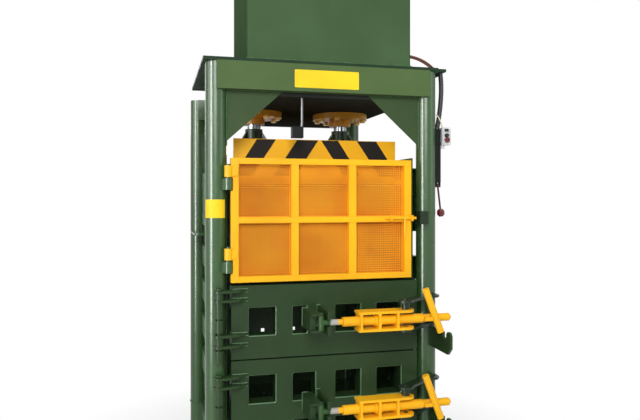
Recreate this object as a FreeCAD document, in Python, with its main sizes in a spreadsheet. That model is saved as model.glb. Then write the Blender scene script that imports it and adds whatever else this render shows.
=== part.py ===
"""Vertical two-cylinder recycling baler: one solid, or one group of like solids, for each physical piece.

x runs right and y runs back from the axis of the front left column, z runs up from the floor, in mm.
Each finished piece is then shifted so that the middle of the footprint lies on the origin.
"""
import FreeCAD, Part
import math
import os
import re
import Sketcher

SIZES = {
    # columns and what joins them
    "column_x": 1100, "column_y": 1330, "column_r": 51, "column_wall": 8, "column_top": 2190,
    "weld_gap": 0.3, "beam_half": 62, "beam_wall": 10, "base_top": 140, "header_tall": 136,
    "gusset_from": 20, "gusset_to": 322, "gusset_tall": 278, "gusset_front": -20, "gusset_thick": 12,
    # cylinder platform and top plate
    "deck_thick": 20, "deck_in": 60, "deck_back": 48, "channel_wide": 80,
    "channel_wall": 8, "deck_rib_off": 175, "deck_rib": 20, "lid_thick": 15, "lid_over": 65,
    "lid_over_right": 45, "lid_behind": 236, "ear_out": 100, "ear_front": -40, "ear_back": 60,
    "ear_rib": 8, "ear_rib_drop": 42, "side_reach": 126,
    # chamber
    "wall_in": 50, "wall_thick": 10, "wall_off": 4, "wall_top": 1740, "rail_deep": 30,
    "rail_first": 402, "rail_pitch": 230, "rail_tall": 125, "rail_wall": 6, "panel_low": 1349,
    "panel_high": 1686, "shelf_low": 1290, "shelf_thick": 12, "shelf_out": 48, "shelf_from": 930,
    "slot_wide": 24, "slot_margin": 12,
    "floor_low": 220, "floor_thick": 15, "joist_wide": 60, "joist_in": 25, "side_gap": 1,
    # power pack
    "house_left": 146, "house_short": 107, "house_front": -60, "house_fore": 154, "house_top": 3305,
    "sheet_thick": 3, "house_round": 14, "tank_left": 200, "tank_short": 53, "tank_front": 4,
    "tank_fore": 60, "tank_tall": 395, "tank_wall": 9, "filler_r": 31, "motor_r": 120, "motor_left": 330,
    "motor_long": 350, "motor_fore": 280, "motor_up": 160, "pump_r": 62, "pump_long": 150,
    # hydraulic cylinders
    "cylinder_out": 266, "cylinder_fore": 11, "barrel_r": 90, "bore_r": 75, "barrel_top": 3240,
    "cap_thick": 30, "slide_gap": 0.05, "port_r": 6, "port_boss_r": 17, "flange_r": 165,
    "flange_thick": 34, "spigot_long": 56, "gland_r": 65, "gland_long": 38, "bolt_ring": 140,
    "bolt_r": 10, "bolt_head": 17.3, "bolt_head_tall": 15, "rod_r": 40, "piston_tall": 90, "piston_room": 20,
    # platen
    "platen_drop": 362, "platen_plate": 25, "platen_gap": 15, "hazard_front": 170, "hazard_in": 106,
    "rib_plate": 12, "seat_thick": 20, "seat_half": 130, "seat_in": 184, "platen_tall": 236,
    "rib_tall": 100, "rear_step": 107,
    "socket_r": 52, "socket_foot": 100, "socket_tall": 98, "socket_fit": 0.3, "socket_rib": 10,
    # front doors and their hinges
    "door_left": 70, "door_half": 50, "door_skin": 8, "door_lift": 6, "lower_tall": 497, "door_gap": 7,
    "upper_tall": 357, "pocket_first": 153, "pocket_wide": 136, "pocket_spare": 4,
    "upper_pocket_short": 60, "lower_pocket_short": 17, "pocket_tall": 140, "upper_row_up": 110,
    "lower_row_low_up": 54, "lower_row_high_up": 284, "hinge_x": 10, "hinge_off": 29, "sleeve_r": 21,
    "upper_drop": 16, "upper_rise": 64, "lower_drop": 64, "lower_rise": 59, "sleeve_long": 132,
    "sleeve_short": 66, "barrel_gap": 8, "barrel_short": 60, "barrel_long": 80, "strap_in": 6,
    "strap_second": 50, "strap_foot": 9,
    "pin_r": 11, "pin_gap": 0.05, "strap_eye": 28, "strap_thick": 12, "strap_reach": 150,
    "weld_plate": 12, "pin_cap": 8, "end_gap": 2,
    # door locks
    "lock_up_upper": 194, "lock_up_lower": 279, "lock_y": -228, "lock_rod_r": 14, "lock_rod_long": 288,
    "tee_in": 628, "tee_half": 34, "tee_pin_r": 8, "ear_gap": 0.3, "keeper_block_to": 52,
    "keeper_block_wide": 28, "keeper_block_front": -215, "keeper_block_half": 45, "fork_from": 24,
    "fork_thick": 15, "fork_front": -262, "fork_half": 57, "fork_slot": 15.5, "turn_tube_from": 104,
    "turn_tube_to": 508, "turn_tube_r": 22.5, "turn_bore_to": 328, "turn_bar_r": 19, "turn_bar_to": 658,
    "turn_bar_edge": 8, "collar_r": 29, "collar_thick": 11, "collar_gap": 0.5, "grip_r": 17,
    "grip_off": 34, "grip_from": 594, "grip_low": 66, "grip_long": 227.5, "grip_lean": 20.86,
    "tongue_from": 513, "tongue_to": 570, "tongue_half": 9, "cage_from": 176, "cage_half": 40,
    "cage_near": 35.5, "cage_plate": 12, "web_from": 182, "web_pitch": 92, "hook_pin_from": 424,
    "hook_pin_r": 12, "hook_eye": 36, "hook_high": 80, "hook_low": 60, "anchor_in": 10,
    "hook_fit": 2.5, "hook_slack": 6, "anchor_down": 62, "anchor_up": 100,
    "catch_in": 6, "catch_front": -310, "catch_drop": 176, "catch_top": 65, "catch_inner": 74,
    "catch_notch": 100, "catch_notch_y": -225,
    # mesh door
    "mesh_left": 67, "mesh_in": 105, "mesh_gap": 16, "mesh_under": 333, "mesh_front": -60,
    "mesh_back": -20, "stile": 38, "cross_rail": 29, "mesh_thick": 3, "mesh_lap": 6, "mesh_cells": 5,
    "mesh_bar": 6, "mesh_hinge_x": 55, "mesh_hinge_y": -60, "knuckle_r": 20, "mesh_pin_r": 10,
    "knuckle_down": 93, "knuckle_up": 111, "knuckle_tall": 55, "knuckle_drop": 7,
    "strap_long": 150, "strap_plate": 10, "draw_bolt_r": 7, "draw_bolt_long": 163.5,
    "draw_bolt_out": 19.5, "draw_bolt_y": -75, "draw_bolt_up": 4.5, "bolt_grip_in": 60.5,
    "bolt_grip_long": 97, "bolt_grip_r": 6, "guide_in": 123, "guide_thick": 12, "guide_wide": 9,
    "guide_half": 15, "keeper_gap": 15.5, "keeper_wide": 45, "keeper_front": -95,
    "keeper_under": 32, "keeper_over": 35, "keeper_hole_r": 12,
    # controls and lines
    "valve_in": 11, "valve_wide": 38, "valve_half": 20, "valve_under": 302, "valve_tall": 281,
    "lug_drop": 23, "lug_thick": 6, "lever_gap": 0.5, "lever_eye": 9, "lever_pin": 4, "lever_r": 5,
    "lever_long": 148, "lever_lean": 7, "knob_r": 20, "knob_end_r": 11, "knob_edge": 10,
    "button_box_down": 81, "button_box_up": 10, "button_box_front": -40, "button_box_back": 6,
    "button_out_x": 24, "start_down": 31, "start_r": 9, "stop_down": 55, "stop_r": 13,
    "button_stem": 5, "button_out": 13, "button_travel": 4.5,
    "stem_long": 20, "gland_nut_r": 9, "gland_nut_long": 20, "pipe_r": 6.5, "conduit_r": 12,
    "hose_r": 10, "wire_r": 3.5, "pipe_fit": 0.1,
    "pipe_x": 435, "pipe_y": 20, "pipe_bend_drop": 144, "pipe_end_back": 15.5, "pipe_end_drop": 183,
    "pipe_block_back": 52, "pipe_block_wide": 57, "pipe_block_drop": 203, "pipe_block_tall": 56,
    "conduit_in": 16, "conduit_bow": 1,
    "conduit_drop": 120, "conduit_off": 3.5, "hose_y": 15, "hose_up": 70, "hose_short": 15,
    "hose_in": 40, "wire_back": 28.5, "wire_y": -24, "wire_up": 78,
    "wire_turn_back": 4, "wire_turn_up": 58, "wire_out": 8,
}

# places that follow from the sizes
RULES = {
    "mid_x": "column_x / 2",
    "grid_x": "-(column_x + side_reach - lid_over) / 2",
    "grid_y": "-(column_y + beam_half + catch_front) / 2",
    "header_low": "column_top - header_tall",
    "gusset_low": "header_low - gusset_tall",
    "deck_low": "header_low - deck_thick",
    "deck_front": "gusset_front + gusset_thick + weld_gap",
    "lid_top": "column_top + lid_thick",
    "lid_back": "cylinder_y + lid_behind",
    "wall_front": "column_r + wall_off",
    "wall_back": "column_y - wall_front",
    "rail_face": "wall_in - rail_deep",
    "wall_inner": "wall_in + wall_thick",
    "rear_plate": "column_y - column_r + 1",
    "joist_pitch": "(column_x - 2 * wall_inner - joist_wide - 2 * joist_in) / 3",
    "house_right": "column_x - house_short",
    "house_back": "cylinder_y - house_fore",
    "tank_right": "house_right - tank_short",
    "tank_back": "house_back - tank_fore",
    "motor_y": "house_back - motor_fore",
    "cylinder_y": "column_y / 2 - cylinder_fore",
    "flange_low": "deck_low - flange_thick",
    "gland_low": "flange_low - gland_long",
    "piston_low": "barrel_top - cap_thick - piston_room - piston_tall",
    "platen_low": "gland_low - platen_drop",
    "platen_top": "platen_low + platen_tall",
    "rib_top": "platen_low + rib_tall",
    "platen_left": "wall_inner + platen_gap",
    "platen_back": "wall_back - 20",
    "platen_front": "wall_front + 20",
    "platen_rear": "platen_back - rear_step",
    "door_right": "column_x - door_left",
    "pocket_pitch": "(column_x - 2 * pocket_first - pocket_wide - pocket_spare) / 3",
    "lower_low": "floor_low + floor_thick + door_lift",
    "lower_high": "lower_low + lower_tall",
    "lower_row_low": "lower_low + lower_row_low_up",
    "lower_row_high": "lower_low + lower_row_high_up",
    "upper_low": "lower_high + door_gap",
    "upper_high": "upper_low + upper_tall",
    "upper_row": "upper_low + upper_row_up",
    "lock_z_upper": "upper_low + lock_up_upper",
    "lock_z_lower": "lower_low + lock_up_lower",
    "hinge_y": "-column_r - hinge_off",
    "anchor_x": "column_x - anchor_in",
    "anchor_y": "-column_r - hinge_off",
    "catch_left": "column_x - catch_in",
    "tee_x": "column_x - tee_in",
    "lock_rod_end": "tee_x + lock_rod_long",
    "keeper_block_left": "tee_x - keeper_block_to",
    "fork_left": "tee_x + fork_from",
    "turn_tube_left": "tee_x + turn_tube_from",
    "turn_tube_right": "tee_x + turn_tube_to",
    "turn_bore_end": "tee_x + turn_bore_to",
    "turn_bar_end": "tee_x + turn_bar_to",
    "grip_low_x": "tee_x + grip_from",
    "tongue_left": "tee_x + tongue_from",
    "tongue_right": "tee_x + tongue_to",
    "cage_left": "tee_x + cage_from",
    "web_first": "tee_x + web_from",
    "hook_pin_x": "tee_x + hook_pin_from",
    "mesh_right": "column_x - mesh_in",
    "mesh_low": "upper_high + mesh_gap",
    "mesh_high": "header_low - mesh_under",
    "draw_bolt_right": "mesh_right + draw_bolt_out",
    "draw_bolt_left": "draw_bolt_right - draw_bolt_long",
    "draw_bolt_z": "(mesh_low + mesh_high) / 2 + draw_bolt_up",
    "bolt_grip_x": "draw_bolt_right - bolt_grip_in",
    "bolt_grip_low": "draw_bolt_z - bolt_grip_long",
    "guide_left": "mesh_right - guide_in",
    "guide_right": "mesh_right - guide_wide",
    "keeper_left": "draw_bolt_right + keeper_gap",
    "keeper_right": "keeper_left + keeper_wide",
    "keeper_low": "draw_bolt_z - keeper_under",
    "keeper_high": "draw_bolt_z + keeper_over",
    "valve_left": "column_x + column_r - valve_in",
    "valve_right": "valve_left + valve_wide",
    "valve_high": "column_top - valve_under",
    "valve_low": "valve_high - valve_tall",
    "eye_z": "valve_low - lug_drop / 2",
    "box_right": "column_x + side_reach",
    "button_box_low": "valve_high - button_box_down",
    "button_box_high": "valve_high + button_box_up",
    "button_x": "valve_right + button_out_x",
    "start_z": "valve_high - start_down",
    "stop_z": "valve_high - stop_down",
    "pipe_bend_z": "deck_low - pipe_bend_drop",
    "pipe_end_x": "pipe_x - pipe_end_back",
    "pipe_end_z": "deck_low - pipe_end_drop",
    "pipe_block_left": "pipe_x - pipe_block_back",
    "pipe_block_low": "deck_low - pipe_block_drop",
    "conduit_x": "column_x + ear_out - conduit_in",
    "conduit_bow_x": "column_x + ear_out + conduit_bow",
    "conduit_bow_z": "column_top - conduit_drop",
    "conduit_end_x": "valve_left + valve_wide / 2 + conduit_off",
    "hose_z": "lid_top + hose_up",
    "hose_turn_x": "column_x - hose_short",
    "hose_end_x": "column_x + ear_out - hose_in",
    "wire_from_x": "valve_right - wire_back",
    "wire_from_z": "valve_high + wire_up",
    "wire_turn_x": "valve_right - wire_turn_back",
    "wire_turn_z": "valve_high + wire_turn_up",
    "wire_end_x": "valve_right + wire_out",
}

PLANES = {"x": "YZ_Plane", "y": "XZ_Plane", "z": "XY_Plane"}
TURNS = {
    "x": FreeCAD.Rotation(FreeCAD.Vector(0, 1, 0), 90),
    "y": FreeCAD.Rotation(FreeCAD.Vector(1, 0, 0), -90),
    "z": FreeCAD.Rotation(),
}
NODES = []

doc = FreeCAD.newDocument("Baler")
sheet = doc.addObject("Spreadsheet::Sheet", "Sizes")
for row, (word, size) in enumerate(SIZES.items(), 1):
    sheet.set("A%d" % row, word)
    sheet.set("B%d" % row, str(size))
    sheet.setAlias("B%d" % row, word)
doc.recompute()


def expr(text):
    """The text with each size word made a cell of the sheet and each rule opened."""
    def opened(match):
        name = match.group(0)
        if name in RULES:
            return "(" + expr(RULES[name]) + ")"
        return "Sizes." + name if name in SIZES else name
    return re.sub(r"[a-z][a-z_]*", opened, str(text))


def value(text):
    """The number that a text of size words stands for."""
    return float(sheet.evalExpression("(" + expr(text) + ") + 0.0"))


def put(piece, place):
    """Binds a piece's place to the sheet."""
    for axis, text in zip("xyz", place):
        piece.setExpression("Placement.Base." + axis, expr(text))
    return piece


def box(x, y, z):
    """A block between the three pairs of planes."""
    block = doc.addObject("Part::Box", "block")
    for side, (near, far) in zip(("Length", "Width", "Height"), (x, y, z)):
        block.setExpression(side, expr("(%s) - (%s)" % (far, near)))
    return put(block, (x[0], y[0], z[0]))


def bar(axis, centre, radius, near, far):
    """A round bar along an axis; centre gives the two other coordinates in order."""
    rod = doc.addObject("Part::Cylinder", "rod")
    rod.Placement = FreeCAD.Placement(FreeCAD.Vector(), TURNS[axis])
    rod.setExpression("Radius", expr(radius))
    rod.setExpression("Height", expr("(%s) - (%s)" % (far, near)))
    place = list(centre)
    place.insert("xyz".index(axis), near)
    return put(rod, place)


def cone(turn, near_r, far_r, tall, place):
    """A round frustum standing on a place, its axis turned from upright."""
    frustum = doc.addObject("Part::Cone", "cone")
    frustum.Placement = FreeCAD.Placement(FreeCAD.Vector(), turn)
    for side, text in (("Radius1", near_r), ("Radius2", far_r), ("Height", tall)):
        frustum.setExpression(side, expr(text))
    return put(frustum, place)


def fuse(*pieces):
    """One solid of several."""
    whole = doc.addObject("Part::MultiFuse", "whole")
    whole.Shapes = list(pieces)
    whole.Refine = True
    return whole


def cut(piece, *tools):
    """The piece without the tools."""
    rest = doc.addObject("Part::Cut", "rest")
    rest.Base = piece
    rest.Tool = tools[0] if len(tools) == 1 else fuse(*tools)
    rest.Refine = True
    return rest


def prism(axis, points, near, far):
    """A plate with a straight-sided outline in the two other coordinates, thick along the axis."""
    body = doc.addObject("PartDesign::Body", "plate")
    sketch = body.newObject("Sketcher::SketchObject", "outline")
    plane = [part for part in body.Origin.OriginFeatures if part.Role == PLANES[axis]][0]
    sketch.AttachmentSupport = [(plane, "")]
    sketch.MapMode = "FlatFace"
    corners = [FreeCAD.Vector(value(a), value(b), 0) for a, b in points]
    count = len(corners)
    for k in range(count):
        sketch.addGeometry(Part.LineSegment(corners[k], corners[(k + 1) % count]), False)
    for k in range(count):
        sketch.addConstraint(Sketcher.Constraint("Coincident", k, 2, (k + 1) % count, 1))
    for k, (place, texts) in enumerate(zip(corners, points)):
        for kind, number, text in zip(("DistanceX", "DistanceY"), place, texts):
            name = "%s%d" % (kind[-1].lower(), k)
            index = sketch.addConstraint(Sketcher.Constraint(kind, -1, 1, k, 1, number))
            sketch.renameConstraint(index, name)
            sketch.setExpression("Constraints." + name, expr(text))
    pad = body.newObject("PartDesign::Pad", "pad")
    pad.Profile = sketch
    pad.setExpression("Length", expr("(%s) - (%s)" % (far, near)))
    body.Tip = pad
    body.setExpression("Placement.Base." + axis, expr(far if axis == "y" else near))
    return body


def rounded(body, radius, spots):
    """Rounds a plate's edges that stand on the given points of its outline."""
    doc.recompute()
    pad = body.Tip
    names = []
    for index, edge in enumerate(pad.Shape.Edges, 1):
        ends = [vertex.Point for vertex in edge.Vertexes]
        flat = len(ends) == 2 and abs(ends[0].x - ends[1].x) + abs(ends[0].y - ends[1].y) < 1e-6
        if flat and any(math.hypot(ends[0].x - value(a), ends[0].y - value(b)) < 1e-3 for a, b in spots):
            names.append("Edge%d" % index)
    fillet = body.newObject("PartDesign::Fillet", "rounding")
    fillet.Base = (pad, names)
    fillet.setExpression("Radius", expr(radius))
    body.Tip = fillet
    return body


def hose(places, radius):
    """A round line through the places: straight runs joined by tangent arcs."""
    spots = [FreeCAD.Vector(*[value(text) for text in place]) for place in places]
    edges, start = [], spots[0]
    for before, here, after in zip(spots, spots[1:], spots[2:]):
        back, ahead = before - here, after - here
        short = min(back.Length, ahead.Length)
        turn = math.pi - back.getAngle(ahead)
        leg = 0.45 * short
        bend = leg / math.tan(turn / 2)
        back.normalize()
        ahead.normalize()
        inward = (back + ahead).normalize()
        crown = here + inward * (bend / math.cos(turn / 2) - bend)
        first, last = here + back * leg, here + ahead * leg
        edges += [Part.LineSegment(start, first).toShape(), Part.Arc(first, crown, last).toShape()]
        start = last
    edges.append(Part.LineSegment(start, spots[-1]).toShape())
    ring = Part.Wire(Part.Circle(spots[0], spots[1] - spots[0], value(radius)).toShape())
    line = doc.addObject("Part::Feature", "line")
    line.Shape = Part.Wire(edges).makePipeShell([ring], True, False)
    return line


def span(side, near, far):
    """A run in x counted from the left column row, or its mirror image for the right side."""
    if side == "left":
        return near, far
    return "column_x - (%s)" % far, "column_x - (%s)" % near


def column_space(x, y):
    """The room kept for a column, with the gap that its weld fills."""
    return bar("z", (x, y), "column_r + weld_gap", "-1", "lid_top + 1")


def node(name, piece):
    """Names a finished piece, moves it from the column grid to the middle of the footprint."""
    piece.Label = name
    for axis, shift in (("x", "grid_x"), ("y", "grid_y")):
        own = [text for path, text in piece.ExpressionEngine if path.endswith("Placement.Base." + axis)]
        piece.setExpression("Placement.Base." + axis, " + ".join(own + [expr(shift)]))
    NODES.append(piece)


def shifted(text, more):
    """A place moved on by a size."""
    return "(%s) + (%s)" % (text, more)


# ---------------------------------------------------------------- columns, beams and plates

for end, y in (("front", "0"), ("rear", "column_y")):
    for side, x in (("left", "0"), ("right", "column_x")):
        node("column_%s_%s" % (end, side), cut(
            bar("z", (x, y), "column_r", "0", "column_top"),
            bar("z", (x, y), "column_r - column_wall", "-1", "column_top - column_wall")))


def cross_beam(y, low, high, *extras):
    """A channel between two columns, its flat face forward, notched round the columns."""
    sides = (shifted(y, "-beam_half"), shifted(y, "beam_half"))
    hollow = (shifted(sides[0], "beam_wall"), shifted(sides[1], "1"))
    whole = box(("0", "column_x"), sides, (low, high))
    if extras:
        whole = fuse(whole, *extras)
    inner = box(("-1", "column_x + 1"), hollow, (shifted(low, "beam_wall"), shifted(high, "-beam_wall")))
    return cut(whole, inner, column_space("0", y), column_space("column_x", y))


def gusset(side):
    """The three-cornered corner plate under the front header."""
    def at(place):
        return place if side == "left" else "column_x - %s" % place
    outline = [(at("gusset_from"), "header_low + 1"), (at("gusset_to"), "header_low + 1"),
               (at("gusset_to"), "header_low - 6"), (at("gusset_from"), "gusset_low")]
    return prism("y", outline, "gusset_front", "gusset_front + gusset_thick")


node("front_header", cross_beam("0", "header_low", "column_top", gusset("left"), gusset("right")))
node("rear_header", cross_beam("column_y", "header_low", "column_top"))
node("base_front", cross_beam("0", "0", "base_top"))
node("base_rear", cross_beam("column_y", "0", "base_top"))

CYLINDERS = (("left", "mid_x - cylinder_out"), ("right", "mid_x + cylinder_out"))


def bolt_places(x):
    """The eight bolt centres on the ring round a cylinder."""
    for k in range(8):
        turn = math.radians(22.5 + 45 * k)
        yield ("%s + bolt_ring * (%.8f)" % (x, math.cos(turn)),
               "cylinder_y + bolt_ring * (%.8f)" % math.sin(turn))


barrel_holes = [bar("z", (x, "cylinder_y"), "barrel_r + 0.5", "deck_low - 1", "lid_top + 1")
                for _, x in CYLINDERS]
bolt_holes = [bar("z", place, "bolt_r + weld_gap", "deck_low - 1", "header_low + 1")
              for _, x in CYLINDERS for place in bolt_places(x)]
deck = [box(("deck_in", "column_x - deck_in"), ("deck_front", "column_y + deck_back"),
            ("deck_low", "header_low"))]
channel_hollows = []
for side in ("left", "right"):
    deck.append(box(span(side, "deck_in", "deck_in + channel_wide"),
                    ("beam_half", "column_y - beam_half"), ("header_low", "column_top")))
    channel_hollows.append(box(
        span(side, "deck_in + channel_wall", "deck_in + channel_wide + 1"),
        ("beam_half - 1", "column_y - beam_half + 1"),
        ("header_low", "column_top - channel_wall")))
deck_ribs = [box(("deck_in + channel_wall / 2", "column_x - deck_in - channel_wall / 2"),
                 ("cylinder_y + %s" % y, "cylinder_y + %s + deck_rib" % y), ("header_low", "column_top"))
             for y in ("deck_rib_off", "(-deck_rib_off - deck_rib)")]
node("cylinder_platform", cut(fuse(cut(fuse(*deck), *channel_hollows), *deck_ribs),
                              *barrel_holes, *bolt_holes))

lid_holes = [bar("z", (x, "cylinder_y"), "barrel_r + 0.5", "column_top - 1", "lid_top + 1")
             for _, x in CYLINDERS]
ear_right = "column_x + ear_out"
ear_rib = prism("y", [("column_x + 20", "column_top + 1"), (ear_right, "column_top + 1"),
                      (ear_right, "column_top - 6"), ("column_x + 20", "column_top - ear_rib_drop")],
                "ear_back - 3 * ear_rib", "ear_back - 2 * ear_rib")
node("top_plate", cut(fuse(
    box(("-lid_over", "column_x + lid_over_right"), ("-beam_half", "lid_back"), ("column_top", "lid_top")),
    box(("column_x", ear_right), ("ear_front", "ear_back"), ("column_top", "lid_top")),
    cut(ear_rib, bar("z", ("column_x", "0"), "column_r + weld_gap", "0", "column_top"))), *lid_holes))

# ---------------------------------------------------------------- chamber

joists, joist_hollows = [], []
for step in (-1.5, -0.5, 0.5, 1.5):
    middle = "mid_x + joist_pitch * (%.1f)" % step
    joists.append(box((shifted(middle, "-joist_wide / 2"), shifted(middle, "joist_wide / 2")),
                      ("-door_half", "rear_plate - 2"), ("base_top", "floor_low + 1")))
    joist_hollows.append(box(
        (shifted(middle, "rail_wall - joist_wide / 2"), shifted(middle, "joist_wide / 2 - rail_wall")),
        ("-door_half - 1", "rear_plate"), ("base_top + rail_wall", "floor_low - rail_wall")))
node("chamber_floor", cut(fuse(
    box(("wall_inner + side_gap", "column_x - wall_inner - side_gap"),
        ("-door_half", "rear_plate - 2"), ("floor_low", "floor_low + floor_thick")), *joists),
    *joist_hollows))

for side in ("left", "right"):
    outer = [box(span(side, "wall_in", "wall_inner"), ("wall_front", "wall_back"), ("base_top", "wall_top")),
             box(span(side, "rail_face", "wall_inner"), ("beam_half", "column_y - beam_half"),
                 ("0", "base_top"))]
    hollows = [box(span(side, "rail_face + rail_wall", "wall_inner - rail_wall"),
                   ("beam_half - 1", "column_y"), ("rail_wall", "base_top - rail_wall"))]
    bands = [("rail_first + %d * rail_pitch" % k, "rail_first + %d * rail_pitch + rail_tall" % k)
             for k in range(4)] + [("panel_low", "panel_high")]
    for low, high in bands:
        outer.append(box(span(side, "rail_face", "wall_in"), ("wall_front", "wall_back"), (low, high)))
        hollows.append(box(span(side, "rail_face + rail_wall", "wall_in"),
                           ("wall_front - 1", "wall_back + 1"),
                           (shifted(low, "rail_wall"), shifted(high, "-rail_wall"))))
    if side == "left":
        tip = ("-shelf_out", "shelf_from")
        outer.append(rounded(prism("z", [tip, ("wall_in", "shelf_from"), ("wall_in", "wall_back"),
                                         ("-shelf_out", "wall_back")],
                                   "shelf_low", "shelf_low + shelf_thick"), "shelf_out / 2", [tip]))
    node(side + "_wall", cut(fuse(*outer), *hollows))

across = ("wall_inner + side_gap", "column_x - wall_inner - side_gap")
outer = [box(across, ("rear_plate", "rear_plate + wall_thick"), ("base_top", "wall_top"))]
hollows = []
for k in range(4):
    low = "rail_first + %d * rail_pitch" % k
    outer.append(box(across, ("rear_plate + wall_thick", "rear_plate + 2 * column_r - 2"),
                     (low, shifted(low, "rail_tall"))))
    hollows.append(box(("0", "column_x"), ("rear_plate + wall_thick", "rear_plate + 2 * column_r - 2 - rail_wall"),
                       (shifted(low, "rail_wall"), shifted(low, "rail_tall - rail_wall"))))
for k in range(4):
    left = "pocket_first + (pocket_wide - slot_wide) / 2 + %d * pocket_pitch" % k
    hollows.append(box((left, shifted(left, "slot_wide")), ("rear_plate - 1", "rear_plate + wall_thick + 1"),
                       ("rail_first + rail_tall + slot_margin", "rail_first + rail_pitch - slot_margin")))
node("rear_wall", cut(fuse(*outer), *hollows))

# ---------------------------------------------------------------- power pack


def rounded_block(x, y, z, radius):
    """An upright block with its four standing edges rounded."""
    spots = [(x[0], y[0]), (x[1], y[0]), (x[1], y[1]), (x[0], y[1])]
    return rounded(prism("z", spots, *z), radius, spots)


node("power_housing", cut(
    rounded_block(("house_left", "house_right"), ("house_front", "house_back"), ("lid_top", "house_top"),
                  "house_round"),
    rounded_block(("house_left + sheet_thick", "house_right - sheet_thick"),
                  ("house_front + sheet_thick", "house_back - sheet_thick"),
                  ("lid_top - 1", "house_top - sheet_thick"), "house_round - sheet_thick")))
tank_top = "lid_top + tank_tall"
filler = ("tank_left + 80", "tank_back - 80")
node("oil_tank", cut(
    fuse(rounded_block(("tank_left", "tank_right"), ("tank_front", "tank_back"), ("lid_top", tank_top),
                       "2 * house_round"),
         bar("z", filler, "filler_r", tank_top, tank_top + " + filler_r")),
    box(("tank_left + tank_wall", "tank_right - tank_wall"), ("tank_front + tank_wall", "tank_back - tank_wall"),
        ("lid_top + tank_wall", tank_top + " - tank_wall")),
    bar("z", filler, "filler_r - tank_wall", tank_top + " - 2 * tank_wall", tank_top + " + filler_r + 1")))
motor_right = "motor_left + motor_long"
motor_z = tank_top + " + motor_up"
node("pump_motor", fuse(
    bar("x", ("motor_y", motor_z), "motor_r", "motor_left", motor_right),
    bar("x", ("motor_y", motor_z), "motor_r - 22", "motor_left - 40", "motor_left + 1"),
    box(("motor_left + 40", motor_right + " - 40"), ("motor_y - 0.8 * motor_r", "motor_y + 0.8 * motor_r"),
        (tank_top, motor_z + " - motor_r / 2"))))
node("hydraulic_pump", fuse(
    bar("x", ("motor_y", motor_z), "pump_r", motor_right, motor_right + " + pump_long"),
    box((motor_right + " + 30", motor_right + " + pump_long - 20"), ("motor_y - pump_r", "motor_y + pump_r"),
        (motor_z, motor_z + " + pump_r + 12"))))

# ---------------------------------------------------------------- hydraulic cylinders

bolts = []
for side, x in CYLINDERS:
    centre = (x, "cylinder_y")
    ports = []
    port_holes = []
    for z in ("deck_low + spigot_long + port_r", "barrel_top - cap_thick - 2 * port_r"):
        ports.append(bar("y", (x, z), "port_boss_r", "cylinder_y - barrel_r - 18", "cylinder_y - bore_r - 5"))
        port_holes.append(bar("y", (x, z), "port_r", "cylinder_y - barrel_r - 19", "cylinder_y - bore_r + 20"))
    node("cylinder_barrel_" + side, cut(
        fuse(bar("z", centre, "barrel_r", "deck_low", "barrel_top"), *ports),
        bar("z", centre, "bore_r", "deck_low - 1", "barrel_top - cap_thick"), *port_holes))
    node("cylinder_flange_" + side, cut(
        fuse(bar("z", centre, "flange_r", "flange_low", "deck_low"),
             bar("z", centre, "bore_r - 2 * slide_gap", "deck_low - 1", "deck_low + spigot_long"),
             bar("z", centre, "gland_r", "gland_low", "flange_low + 1")),
        bar("z", centre, "rod_r + slide_gap", "gland_low - 1", "flange_low"),
        bar("z", centre, "rod_r + 1", "flange_low - 1", "deck_low + spigot_long + 1"),
        *[bar("z", place, "bolt_r + weld_gap", "flange_low - 1", "deck_low + 1")
          for place in bolt_places(x)]))
    for place in bolt_places(x):
        head = doc.addObject("Part::Prism", "head")
        head.Polygon = 6
        head.setExpression("Circumradius", expr("bolt_head"))
        head.setExpression("Height", expr("bolt_head_tall"))
        put(head, place + ("flange_low - bolt_head_tall",))
        bolts.append(fuse(head, bar("z", place, "bolt_r", "flange_low - 1", "header_low - 2")))
    node("piston_rod_" + side, fuse(
        bar("z", centre, "rod_r", "platen_top", "piston_low + 1"),
        bar("z", centre, "bore_r - slide_gap", "piston_low", "piston_low + piston_tall")))
group = doc.addObject("Part::Compound", "group")
group.Links = bolts
node("flange_bolts", group)

# ---------------------------------------------------------------- platen


def spoke(x, angle):
    """A three-cornered rib from a socket down to its foot, turned about the rod axis."""
    turn = math.radians(angle)
    rib = prism("y", [("socket_r - 4", "platen_top"), ("socket_foot - 2", "platen_top"),
                      ("socket_foot - 2", "platen_top + 14"),
                      ("socket_r - 4", "platen_top + socket_tall - 10")], "0", "socket_rib")
    rib.Placement = FreeCAD.Placement(FreeCAD.Vector(), FreeCAD.Rotation(FreeCAD.Vector(0, 0, 1), angle))
    return put(rib, ("%s - socket_rib / 2 * (%.8f)" % (x, math.sin(turn)),
                     "cylinder_y + socket_rib / 2 * (%.8f)" % math.cos(turn), "0"))


plate_top = "platen_low + platen_plate - 1"
board_back = "hazard_front + rib_plate"
board = ("hazard_in", "column_x - hazard_in")
seat = ("seat_in", "column_x - seat_in")
seat_y = ("cylinder_y - seat_half", "cylinder_y + seat_half")
under_seat = (plate_top, "platen_top - seat_thick + 1")
platen = [
    box(("platen_left", "column_x - platen_left"), ("platen_front", "platen_back"),
        ("platen_low", "platen_low + platen_plate")),
    box(board, ("hazard_front", board_back), (plate_top, "platen_top")),
    box(board, ("platen_rear", "platen_rear + rib_plate"), (plate_top, "rib_top")),
    box(seat, seat_y, ("platen_top - seat_thick", "platen_top")),
    box(seat, (seat_y[0], seat_y[0] + " + rib_plate"), under_seat),
    box(seat, (seat_y[1] + " - rib_plate", seat_y[1]), under_seat),
]
for side in ("left", "right"):
    for start in ("hazard_in", "mid_x - cylinder_out - rib_plate / 2"):
        platen.append(box(span(side, start, start + " + rib_plate"),
                          (board_back + " - 1", "platen_rear + 1"), (plate_top, "rib_top")))
    for start in ("seat_in", "mid_x - cylinder_out - rib_plate / 2"):
        platen.append(box(span(side, start, start + " + rib_plate"), seat_y, under_seat))
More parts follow.
